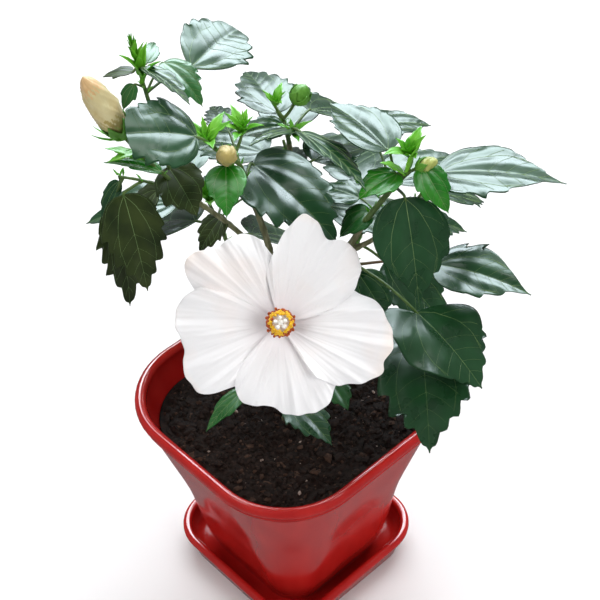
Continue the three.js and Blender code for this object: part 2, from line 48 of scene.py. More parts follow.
UP = np.array([0.0, 0.0, 1.0])

SOIL_TOP = 132
POT_FOOT = 5
RIM_HALF = 85
RIM_CORNER = 54
SAUCER_HALF = 64.5
SAUCER_CORNER = 30
SAUCER_HEIGHT = 21.6
LEAF_THICK = 0.4
YOUNG_THICK = 0.35


# Random draws and vectors, as in the source

def seeded(seed):
    """The same run of numbers from 0 to 1 as in the part's source."""
    state = seed

    def draw():
        nonlocal state
        state = (state * 16807) % 2147483647
        return state / 2147483647

    return draw


def heading(turn, rise):
    """A direction: turn 0 is to the front and 90 to the right, rise is above level."""
    turn, rise = math.radians(turn), math.radians(rise)
    return np.array([math.sin(turn) * math.cos(rise), -math.cos(turn) * math.cos(rise), math.sin(rise)])


def smooth_route(points, count):
    """Points spread evenly along a smooth curve through the given ones."""
    knots = np.array(points, float)
    knots = np.vstack([2 * knots[0] - knots[1], knots, 2 * knots[-1] - knots[-2]])
    gaps = np.maximum(np.sqrt(np.linalg.norm(np.diff(knots, axis=0), axis=1)), 1e-9)
    steps = 200  # from one given point to the next
    share = np.arange(steps)[:, None] / steps
    fine = []
    for index in range(len(knots) - 3):
        p0, p1, p2, p3 = knots[index:index + 4]
        d0, d1, d2 = gaps[index:index + 3]
        slope1 = ((p1 - p0) / d0 - (p2 - p0) / (d0 + d1) + (p2 - p1) / d1) * d1
        slope2 = ((p2 - p1) / d1 - (p3 - p1) / (d1 + d2) + (p3 - p2) / d2) * d1
        fine.append(
            p1 + slope1 * share
            + (-3 * p1 + 3 * p2 - 2 * slope1 - slope2) * share**2
            + (2 * p1 - 2 * p2 + slope1 + slope2) * share**3
        )
    fine = np.vstack([*fine, knots[-2]])
    far = np.r_[0, np.cumsum(np.linalg.norm(np.diff(fine, axis=0), axis=1))]
    shares = np.linspace(0, 1, count) * far[-1]
    return np.stack([np.interp(shares, far, fine[:, axis]) for axis in range(3)], axis=1)


def point_along(points, at):
    """The point at a share of the way along a smooth curve."""
    steps = 100
    route = smooth_route(points, steps + 1)
    place = at * steps
    index = min(int(place), steps - 1)
    return route[index] + (route[index + 1] - route[index]) * (place - index)


def turns_round(count):
    """Even angles round a circle, in radians."""
    return np.arange(count) * 2 * np.pi / count


def spin(degrees):
    """The matrix that turns places in the plane."""
    turn = math.radians(degrees)
    return np.array([[math.cos(turn), -math.sin(turn)], [math.sin(turn), math.cos(turn)]])


def places_of(x, y, z):
    """Rows of places from grids of their values."""
    return np.stack(np.broadcast_arrays(x, y, z), axis=-1).reshape(-1, 3).astype(float)


# Meshes: many small shapes are gathered and joined into one piece

class Shapes:
    """Closed shapes that become one mesh. Each face has its own look, the number of a material."""

    def __init__(self):
        self.vertices = []
        self.faces = []
        self.looks = []
        self.flat = []
        self.count = 0

    def add(self, vertices, *groups, look=0, flat=None):
        """groups are arrays of faces. look is one number, or a list with the looks of each group;
        flat is the number of the group that is shaded flat."""
        turned = signed_volume(vertices, groups) < 0
        for number, group in enumerate(groups):
            if turned:
                group = group[:, ::-1]
            group_look = look[number] if isinstance(look, list) else look
            self.faces.append(group + self.count)
            self.looks.append(np.broadcast_to(group_look, len(group)))
            self.flat.append(np.full(len(group), flat == number))
        self.vertices.append(vertices)
        self.count += len(vertices)

    def add_rings(self, rings, sides, ends, look=0):
        """A closed body of rings of vertices, with a vertex in the middle of each end."""
        count = len(rings)
        first = np.arange(sides)
        caps = np.vstack([fan(first[::-1], count), fan(first + count - sides, count + 1)])
        quads = grid_faces(count // sides, sides, closed=True)
        self.add(np.vstack([rings, ends]), quads, caps, look=look)

    def add_sheet(self, top, bottom, rows, columns, look=0):
        """A thin closed sheet: two grids of vertices, joined round their rims."""
        rim = rim_of_grid(rows, columns)
        quads = grid_faces(rows, columns)
        self.add(np.vstack([top, bottom]), quads, quads[:, ::-1] + len(top), strip(rim, rim + len(top)),
                 look=look, flat=2)
        return quads

    def piece(self, name, materials, slot, nodes=()):
        mesh = bpy.data.meshes.new(name)
        faces = [face for group in self.faces for face in group.tolist()]
        mesh.from_pydata(np.concatenate(self.vertices) * MM, [], faces)
        for material in materials:
            mesh.materials.append(material)
        mesh.polygons.foreach_set("material_index", np.concatenate(self.looks))
        mesh.polygons.foreach_set("use_smooth", ~np.concatenate(self.flat))
        mesh.update()
        made = bpy.data.objects.new(name, mesh)
        bpy.context.scene.collection.objects.link(made)
        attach(made, "root")
        if nodes:
            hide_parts(*nodes)


def signed_volume(vertices, groups):
    """Six times the volume inside, below 0 where the faces look inwards."""
    total = 0.0
    for group in groups:
        for second in range(1, group.shape[1] - 1):
            a, b, c = (vertices[group[:, k]] for k in (0, second, second + 1))
            total += float(np.einsum("ij,ij->i", a, np.cross(b, c)).sum())
    return total


def grid_faces(rows, columns, closed=False):
    """Quads of a grid of vertices that runs row by row; closed joins the last column to the first."""
    grid = np.arange(rows * columns).reshape(rows, columns)
    if closed:
        grid = np.c_[grid, grid[:, 0]]
    corners = grid[:-1, :-1], grid[:-1, 1:], grid[1:, 1:], grid[1:, :-1]
    return np.stack(corners, axis=-1).reshape(-1, 4)


def fan(ring, centre):
    """Triangles from a ring of vertices to one in its middle."""
    return np.stack([ring, np.roll(ring, -1), np.full(len(ring), centre)], axis=1)


def strip(ring, other):
    """Quads between two rings of vertices."""
    return np.stack([ring, other, np.roll(other, -1), np.roll(ring, -1)], axis=1)


def rim_of_grid(rows, columns):
    """The vertices round a grid, in order."""
    grid = np.arange(rows * columns).reshape(rows, columns)
    return np.concatenate([grid[0], grid[1:, -1], grid[-1, -2::-1], grid[-2:0:-1, 0]])


def ring_frames(route):
    """Two directions across a route at each of its points, with no twist from one to the next."""
    ways = np.gradient(route, axis=0)
    ways /= np.linalg.norm(ways, axis=1)[:, None] + 1e-12
    side = np.cross(ways[0], UP)
    if np.linalg.norm(side) < 0.1:
        side = np.cross(ways[0], [1.0, 0.0, 0.0])
    sides = []
    for way in ways:
        side = side - way * (side @ way)
        side = side / np.linalg.norm(side)
        sides.append(side)
    sides = np.array(sides)
    return sides, np.cross(ways, sides)


def tube(shapes, route, radii, sides, look=0):
    """A closed tube. radii has a value for each ring, or for each ring and side."""
    route = np.asarray(route, float)
    radii = np.asarray(radii, float)
    radii = radii[:, None] if radii.ndim == 1 else radii
    side, other = ring_frames(route)
    turns = turns_round(sides)
    rings = (
        route[:, None]
        + side[:, None] * (np.cos(turns) * radii)[:, :, None]
        + other[:, None] * (np.sin(turns) * radii)[:, :, None]
    )
    shapes.add_rings(rings.reshape(-1, 3), sides, [route[0], route[-1]], look)


# Materials, all procedural

class Surface:
    """A material while it is made. Places of its noise are the model's own, in cells to the metre."""

    def __init__(self, name):
        self.material = bpy.data.materials.new(name)
        self.material.use_nodes = True
        self.tree = self.material.node_tree
        self.shader = self.tree.nodes["Principled BSDF"]

    def node(self, kind, **values):
        made = self.tree.nodes.new("ShaderNode" + kind)
        for name, value in values.items():
            made.inputs[name].default_value = value
        return made

    def link(self, source, target):
        self.tree.links.new(source, target)

    def keep(self, socket, value):
        """Sets a value that is the same all over."""
        self.shader.inputs[socket].default_value = value

    def noise(self, scale, detail=3.0, stretch=(1, 1, 1)):
        place = self.node("TexCoord")
        mapping = self.node("Mapping", Scale=stretch)
        texture = self.node("TexNoise", Scale=scale, Detail=detail)
        self.link(place.outputs["Object"], mapping.inputs["Vector"])
        self.link(mapping.outputs["Vector"], texture.inputs["Vector"])
        return texture.outputs["Fac"]

    def ramp(self, source, *stops):
        """Colours by a value from 0 to 1."""
        node = self.node("ValToRGB")
        elements = node.color_ramp.elements
        elements.remove(elements[0])
        for number, (place, colour) in enumerate(stops):
            element = elements[0] if number == 0 else elements.new(place)
            element.position = place
            element.color = (*colour, 1)
        self.link(source, node.inputs["Fac"])
        return node.outputs["Color"]

    def tint(self, source, *stops):
        self.link(self.ramp(source, *stops), self.shader.inputs["Base Color"])

    def gloss(self, source, low, high):
        greys = self.ramp(source, (0.3, (low, low, low)), (0.7, (high, high, high)))
        self.link(greys, self.shader.inputs["Roughness"])

    def bump(self, height, strength, distance):
        bump = self.node("Bump", Strength=strength, Distance=distance)
        self.link(height, bump.inputs["Height"])
        self.link(bump.outputs["Normal"], self.shader.inputs["Normal"])


def spotted(name, dark, light, scale, rough, bump_scale, bump=0.3, bump_size=0.0003,
            specular=0.5, stretch=(1, 1, 1), sheen=0.0):
    """A surface whose colour and gloss drift between two values, with a fine relief."""
    made = Surface(name)
    drift = made.noise(scale, stretch=stretch)
    made.tint(drift, (0.3, dark), (0.7, light))
    made.gloss(drift, *rough)
    made.bump(made.noise(bump_scale, 4.0, stretch), bump, bump_size)
    made.keep("Specular IOR Level", specular)
    made.keep("Sheen Weight", sheen)
    return made.material


def leaf_material(name, dark, light, rough=(0.25, 0.33), specular=0.5):
    return spotted(name, dark, light, scale=70, rough=rough, bump_scale=500, bump=0.10,
                   bump_size=0.0002, specular=specular)


def bud_material(name, dark, light, scale=160, stretch=(1, 1, 1)):
    return spotted(name, dark, light, scale, rough=(0.45, 0.60), bump_scale=1200, sheen=0.2,
                   stretch=stretch)


def stem_material(name, dark, light):
    return spotted(name, dark, light, scale=260, rough=(0.40, 0.55), bump_scale=1400)


def soil_material(name, dark, light, bump_size):
    return spotted(name, dark, light, scale=420, rough=(0.75, 0.95), bump_scale=2600, bump=0.8,
                   bump_size=bump_size, specular=0.15)


def pollen_material(name, dark, light, rough=(0.60, 0.75), bump=0.6):
    return spotted(name, dark, light, scale=900, rough=rough, bump_scale=5000, bump=bump)


def make_materials():
    """Every look of the plant, its soil and its pot, by the name that the pieces use."""
    return {
        "dark": leaf_material("leaf_dark", (0.007, 0.036, 0.011), (0.014, 0.062, 0.020)),
        "mid": leaf_material("leaf_mid", (0.009, 0.075, 0.012), (0.024, 0.125, 0.024)),
        "bright": leaf_material("leaf_bright", (0.004, 0.105, 0.003), (0.024, 0.185, 0.009)),
        # The olive hue is the leaves' own; how dark it is copies the shade these hanging leaves lie in, so
        # it is partly painted shade.
        "olive": leaf_material("leaf_olive", (0.010, 0.020, 0.003), (0.036, 0.054, 0.011),
                               (0.38, 0.48), 0.4),
        "under": leaf_material("leaf_under", (0.030, 0.080, 0.026), (0.048, 0.110, 0.036),
                               (0.48, 0.60), 0.4),
        "vein": leaf_material("leaf_vein", (0.120, 0.210, 0.070), (0.200, 0.300, 0.120),
                              (0.40, 0.50), 0.4),
        "young": leaf_material("leaf_young", (0.060, 0.310, 0.010), (0.190, 0.520, 0.035), (0.30, 0.42)),
        "calyx": leaf_material("calyx_green", (0.045, 0.190, 0.012), (0.130, 0.330, 0.040), (0.42, 0.55)),
        "stem": stem_material("stem_green", (0.050, 0.105, 0.022), (0.110, 0.180, 0.045)),
        "red_stem": stem_material("stem_reddish", (0.110, 0.050, 0.030), (0.130, 0.110, 0.050)),
        "cream": bud_material("bud_cream", (0.50, 0.38, 0.16), (0.63, 0.56, 0.31), 110, (1, 1, 0.5)),
        "peach": bud_material("bud_peach", (0.60, 0.37, 0.16), (0.71, 0.51, 0.27)),
        "yellow": bud_material("bud_yellow", (0.35, 0.28, 0.07), (0.48, 0.38, 0.13)),
        "lime": bud_material("bud_lime", (0.26, 0.34, 0.05), (0.50, 0.50, 0.17)),
        "column": spotted("flower_column", (0.78, 0.66, 0.60), (0.90, 0.84, 0.76), scale=500,
                          rough=(0.50, 0.60), bump_scale=2000),
        "pollen": pollen_material("pollen_yellow", (0.84, 0.40, 0.010), (0.96, 0.68, 0.03)),
        "rust": pollen_material("pollen_rust", (0.30, 0.040, 0.010), (0.62, 0.130, 0.020)),
        "stigma": pollen_material("stigma_white", (0.90, 0.86, 0.78), (0.96, 0.94, 0.90),
                                  (0.55, 0.65), 0.5),
        "soil": soil_material("soil_dark", (0.009, 0.006, 0.005), (0.034, 0.022, 0.018), 0.0008),
        "soil_brown": soil_material("soil_brown", (0.036, 0.020, 0.014), (0.085, 0.050, 0.036), 0.0005),
        "speck": spotted("soil_speck", (0.20, 0.13, 0.10), (0.46, 0.36, 0.31), scale=700,
                         rough=(0.60, 0.80), bump_scale=2600, bump=0.5),
        "bark": bark_material(),
        "petal": petal_material(),
        "plastic": plastic_material(),
    }


def bark_material():
    """Grey-green bark with pale and dark streaks up the limb."""
    made = Surface("bark")
    streaks = made.noise(420, 5.0, (1, 1, 0.25))
    shade, green, pale = (0.060, 0.052, 0.030), (0.140, 0.150, 0.065), (0.300, 0.270, 0.180)
    made.tint(streaks, (0.25, shade), (0.5, green), (0.78, pale))
    made.keep("Roughness", 0.72)
    made.bump(streaks, 0.5, 0.0004)
    return made.material


def plastic_material():
    """Glossy moulded plastic with faint streaks down the wall."""
    made = Surface("red_plastic_gloss")
    streaks = made.noise(55, 4.0, (1, 1, 0.12))
    made.tint(streaks, (0.3, (0.370, 0.008, 0.007)), (0.7, (0.460, 0.015, 0.012)))
    made.gloss(streaks, 0.10, 0.17)
    made.bump(made.noise(700, 2.0), 0.05, 0.0001)
    made.keep("Specular IOR Level", 0.6)
    return made.material


def petal_material():
    """White, with a faint lilac throat, peach tints here and there and fine lines."""
    made = Surface("petal_white")
    place = made.node("TexCoord")
    gap = made.node("VectorMath")
    gap.operation = "DISTANCE"
    gap.inputs[1].default_value = tuple(in_flower([0, 0, -6]) * MM)
    made.link(place.outputs["Object"], gap.inputs[0])
    reach = made.node("MapRange", **{"From Min": 0.006, "From Max": 0.062})
    made.link(gap.outputs["Value"], reach.inputs["Value"])
    white = (0.900, 0.890, 0.900)
    base = made.ramp(
        reach.outputs["Result"], (0.0, (0.86, 0.73, 0.76)), (0.08, (0.89, 0.86, 0.88)),
        (0.30, (0.895, 0.88, 0.89)), (0.6, white), (0.88, white), (1.0, (0.93, 0.86, 0.82)),
    )
    patches = made.ramp(made.noise(32, 2.0), (0.52, (1.0, 1.0, 1.0)), (0.74, (1.0, 0.945, 0.915)))
    both = made.node("Mix")
    both.data_type, both.blend_type = "RGBA", "MULTIPLY"
    both.inputs["Factor"].default_value = 1.0
    made.link(base, both.inputs["A"])
    made.link(patches, both.inputs["B"])
    made.link(both.outputs["Result"], made.shader.inputs["Base Color"])
    made.keep("Roughness", 0.6)
    made.keep("Specular IOR Level", 0.25)
    made.keep("Sheen Weight", 0.1)
    made.bump(made.noise(900, 3.0), 0.15, 0.0002)
    return made.material


# Leaves: a flat pattern in mm, x across and y along, with its relief and veins, bent into place

MIDRIB = np.array([[0, 0], [0, 0.3], [0, 0.6], [0, 0.97]])
SIDE_VEIN = np.array([[0, 0.01], [0.30, 0.14], [0.52, 0.33], [0.60, 0.52], [0.52, 0.70]])
BASE_VEIN = np.array([[0, 0.01], [0.42, 0.03], [0.76, 0.12], [0.92, 0.26]])
MAIN_FURROW = (0.62, 3.6)  # depth and reach of the furrow along a vein, on a 60 mm leaf
SMALL_FURROW = (0.14, 2.2)
MARGIN = dict(teeth=5, start=0.22, end=0.96, sharp=0.4, depth=0.05, lobes=0)  # of most leaves: see leaf()


def leaf_outline(share, swell=0.62, draw=0.5):
    """Half width from 0 to 1. swell moves the widest place out and draw gives a longer point."""
    share = np.clip(share, 0, 1)
    return np.maximum(np.sin(np.pi * share**swell), 0) ** (0.7 + draw * share)


def pair(value):
    """A value for the left and right half of a leaf."""
    return value if isinstance(value, tuple) else (value, value)


def teeth(share, random, count, start, end, sharp):
    """How far one margin stands out, about -0.3 to 1: uneven teeth that lean to the tip."""
    gaps = np.array([0.7 + 0.6 * random() for _ in range(count)])
    sizes = np.array([0.55 + 0.8 * random() for _ in range(count)])
    edges = start + (end - start) * np.r_[0, np.cumsum(gaps)] / gaps.sum()
    index = np.clip(np.searchsorted(edges, share) - 1, 0, count - 1)
    place = np.clip((share - edges[index]) / (edges[index + 1] - edges[index]), 0, 1)
    rounded = np.sin(np.pi * place**1.8) ** 0.8
    pointed = np.where(place < 0.82, (place / 0.82) ** 1.6, (1 - place) / 0.18)
    out = sizes[index] * (sharp * pointed + (1 - sharp) * rounded) - 0.3
    return np.where((share > edges[0]) & (share < edges[-1]), out, 0)


def outline_of(one):
    """What a leaf says of its outline."""
    return {key: one[key] for key in ("swell", "draw") if key in one}


def vein_lines(one, fine):
    """Lines in shares of the half width and the length, each with its width at foot and tip."""
    main = [(MIDRIB, 1.0, 0.25)]
    small = []
    outline = outline_of(one)
    for side in (-1, 1):
        mirror = np.array([side, 1])
        main.append((SIDE_VEIN * mirror, 0.75, 0.2))
        if not fine:
            continue
        if pair(one.get("lobes", 0))[side < 0] >= 0:
            main.append((BASE_VEIN * mirror, 0.55, 0.15))
        for start in (0.40, 0.54, 0.67, 0.79):
            end = start + 0.26 * (1.1 - start)
            reach = 0.86 * leaf_outline(end, **outline)
            middle = [0.5 * reach, start + 0.40 * (end - start)]
            small.append((np.array([[0, start], middle, [reach, end]]) * mirror, 0.42, 0.12))
        for share in (0.30, 0.55, 0.80):
            foot = resampled(SIDE_VEIN, 101)[int(100 * share)]
            end = foot[1] + 0.12
            tip = np.array([0.88 * leaf_outline(end, **outline), end])
            middle = foot + (tip - foot) * np.array([0.55, 0.42])
            small.append((np.array([foot, middle, tip]) * mirror, 0.36, 0.12))
    return main, small


def resampled(line, count, outline=None):
    """Evenly spread points of a line, kept inside the leaf's outline where that is given."""
    shares = np.linspace(0, 1, len(line))
    wanted = np.linspace(0, 1, count)
    x, y = (np.interp(wanted, shares, line[:, axis]) for axis in (0, 1))
    if outline is not None:
        most = 0.9 * leaf_outline(y, **outline)
        x = np.clip(x, -most, most)
    return np.stack([x, y], axis=1)


def nearest_gap(places, lines, scale):
    """How far each place is from the nearest of some lines, in mm."""
    nearest = np.full(len(places), 1e9)
    for line, _, _ in lines:
        fine = resampled(line, 9) * scale
        for start, end in zip(fine[:-1], fine[1:]):
            way = end - start
            share = np.clip(((places - start) @ way) / max(way @ way, 1e-9), 0, 1)
            gap = np.linalg.norm(places - start - share[:, None] * way, axis=1)
            nearest = np.minimum(nearest, gap)
    return nearest


class LeafPattern:
    """One leaf laid flat. Its keys are those of leaf(), in mm and degrees."""

    def __init__(self, one, random):
        young = one.get("young", False)
        self.one = one
        self.length, self.width = one["length"], one["width"]
        self.fine = not young and self.length > 24
        rows, columns = (54, 37) if self.fine else (13, 7) if young else (28, 19)
        even = np.linspace(0, 1, rows)
        share = (0.55 * even + 0.45 * (1 - np.cos(np.pi * even)) / 2)[:, None]
        side = np.linspace(-1, 1, columns)[None]
        outline = leaf_outline(share, **outline_of(one))
        self.x = np.maximum(outline, 0.015) * side * self.width / 2
        self.y = share * self.length + 0 * side
        self.tooth = np.zeros_like(self.x)
        near_edge = np.clip((np.abs(side) - 0.55) / 0.45, 0, 1) ** 1.5 * np.minimum(1, 1.3 * outline + 0.2)
        at_base = outline * np.abs(side) ** 1.6 * np.maximum(0, 1 - share / 0.35) ** 2
        for half, sign in ((0, 1), (1, -1)):
            *toothed, depth, lobe = (pair(one.get(key, usual))[half] for key, usual in MARGIN.items())
            here = side * sign > 0
            out = teeth(share[:, 0], random, *toothed)[:, None] * near_edge * here
            self.tooth += out
            self.x += sign * out * depth * self.length
            self.y += 0.8 * out * depth * self.length
            self.y -= lobe * self.length * at_base * here
        self.rows, self.columns = self.x.shape
        self.main, self.small = vein_lines(one, self.fine)
        self.scale = np.array([self.width / 2, self.length])
        self.waves = [(1 + 1.4 * random(), 6.28 * random()) for _ in range(2)]
        self.wave = one.get("wave", 0.02 if young else 0.013) * self.width * (0.6 + 0.8 * random())

    def height(self, x, y, tooth=0):
        """The blade's relief over its midrib: folded halves, furrows at the veins and a wavy edge."""
        one, size = self.one, self.length / 60
        places = np.stack([np.ravel(x), np.ravel(y)], axis=1)
        relief = np.zeros(len(places))
        for lines, (depth, reach) in ((self.main, MAIN_FURROW), (self.small, SMALL_FURROW)):
            gap = nearest_gap(places, lines, self.scale)
            relief -= depth * size * np.exp(-((gap / (reach * size)) ** 2))
        relief = relief.reshape(np.shape(x))
        folds = pair(one.get("fold", FOLD))
        fold = np.where(x > 0, folds[0], folds[1])
        across, along = x / (self.width / 2), y / self.length
        ripple = sum(
            self.wave * across**2 * np.sin(2 * np.pi * waves * along + phase + 1.5 * np.sign(x))
            for waves, phase in self.waves
        )
        curl = -0.022 * self.length * np.maximum(tooth, 0) ** 2
        return fold * np.abs(x) - 0.25 * x * x / self.width + ripple + relief + curl

    def bent(self, foot, x, y, height):
        """Places on the arched blade, turned and set on its foot."""
        arch = math.radians(self.one.get("arch", 30))
        start = arch / 2
        bend = start - arch * y / self.length
        forward = self.length * (math.sin(start) - np.sin(bend)) / arch - height * np.sin(bend)
        lift = self.length * (np.cos(bend) - math.cos(start)) / arch + height * np.cos(bend)
        turned = (
            Matrix.Rotation(math.radians(self.one["face"] + 180), 3, "Z")
            @ Matrix.Rotation(math.radians(self.one["dip"]), 3, "X")
            @ Matrix.Rotation(math.radians(self.one.get("roll", 0)), 3, "Y")
        )
        return places_of(x, forward, lift) @ np.array(turned).T + foot

    def add_to(self, shapes, foot, look, under):
        """A thin closed blade. It returns its upper side's places and faces, to test what touches it."""
        thick = YOUNG_THICK if self.one.get("young") else LEAF_THICK
        height = self.height(self.x, self.y, self.tooth)
        top, bottom = (self.bent(foot, self.x, self.y, level) for level in (height + thick, height))
        return top, shapes.add_sheet(top, bottom, self.rows, self.columns, [look, under, look])

    def add_veins(self, shapes, foot):
        """Pale veins: slim ridges that show on both sides of the blade."""
        widest = 0.8 if self.length > 25 else 0.4
        for line, start, end in self.main + self.small:
            steps = 14 if start > 0.7 else 8
            fine = resampled(line, steps, outline_of(self.one)) * self.scale
            level = self.height(fine[:, 0], fine[:, 1])
            half = widest * np.linspace(start, end, steps) / 2
            around = ((half, LEAF_THICK / 2), (0, LEAF_THICK + 0.20), (-half, LEAF_THICK / 2), (0, -0.35))
            rings = np.stack([
                self.bent(foot, fine[:, 0] + out, fine[:, 1], level + rise) for out, rise in around
            ], axis=1).reshape(-1, 3)
            last = 4 * (steps - 1)
            caps = np.array([[0, 1, 2, 3], [last + 3, last + 2, last + 1, last]])
            shapes.add(rings, grid_faces(steps, 4, closed=True), caps)


# The plant's own numbers, as in the part's source

WOOD = {
    "trunk": dict(route=[[2, -3, SOIL_TOP - 4], [0, 2, 158], [1, 6, 190]], foot=5.2, tip=4, flare=4.5),
    "middle_bough": dict(
        route=[[1, 5, 183], [-5, 13, 235], [-9, 15, 268], [-16, 15, 300]], foot=2.9, tip=1.9),
    "right_bough": dict(
        route=[[3, 5, 181], [24, 11, 232], [39, 10, 267], [48, 8, 288]], foot=3, tip=2.1),
    "back_bough": dict(
        route=[[1, 5, 180], [4, 28, 232], [6, 40, 288], [5, 42, 318]], foot=2.6, tip=1.7),
    "left_bough": dict(route=[[-6, 14, 250], [-30, 11, 284], [-48, 5, 308]], foot=2, tip=1.6),
    "right_outer_bough": dict(route=[[39, 10, 264], [54, 4, 279], [72, 4, 300]], foot=1.8, tip=1.4),
    "rear_left_bough": dict(route=[[0, 4, 172], [-22, 30, 204], [-36, 50, 232]], foot=2.3, tip=1.6),
    "rear_right_bough": dict(route=[[0, 4, 170], [26, 30, 204], [42, 50, 230]], foot=2.3, tip=1.6),
}


def leaf(at, turn, rise, stalk, face, dip, length, width, look="dark", **more):
    """A leaf: its stalk's place, direction and length, then its blade's way, dip and size.

    A value for the margin may be a pair, for its two halves: teeth is their count, start and end
    where they begin and stop, depth their size and sharp how pointed they are. lobes draw the
    base back, and with stalk_look 1 the stalk is reddish.
    """
    return dict(at=at, turn=turn, rise=rise, stalk=stalk, face=face, dip=dip,
                length=length, width=width, look=look, **more)


def young_leaf(face, dip, length, width, **more):
    """A small leaf with no stalk."""
    return dict(face=face, dip=dip, length=length, width=width, look="young", young=True, **more)


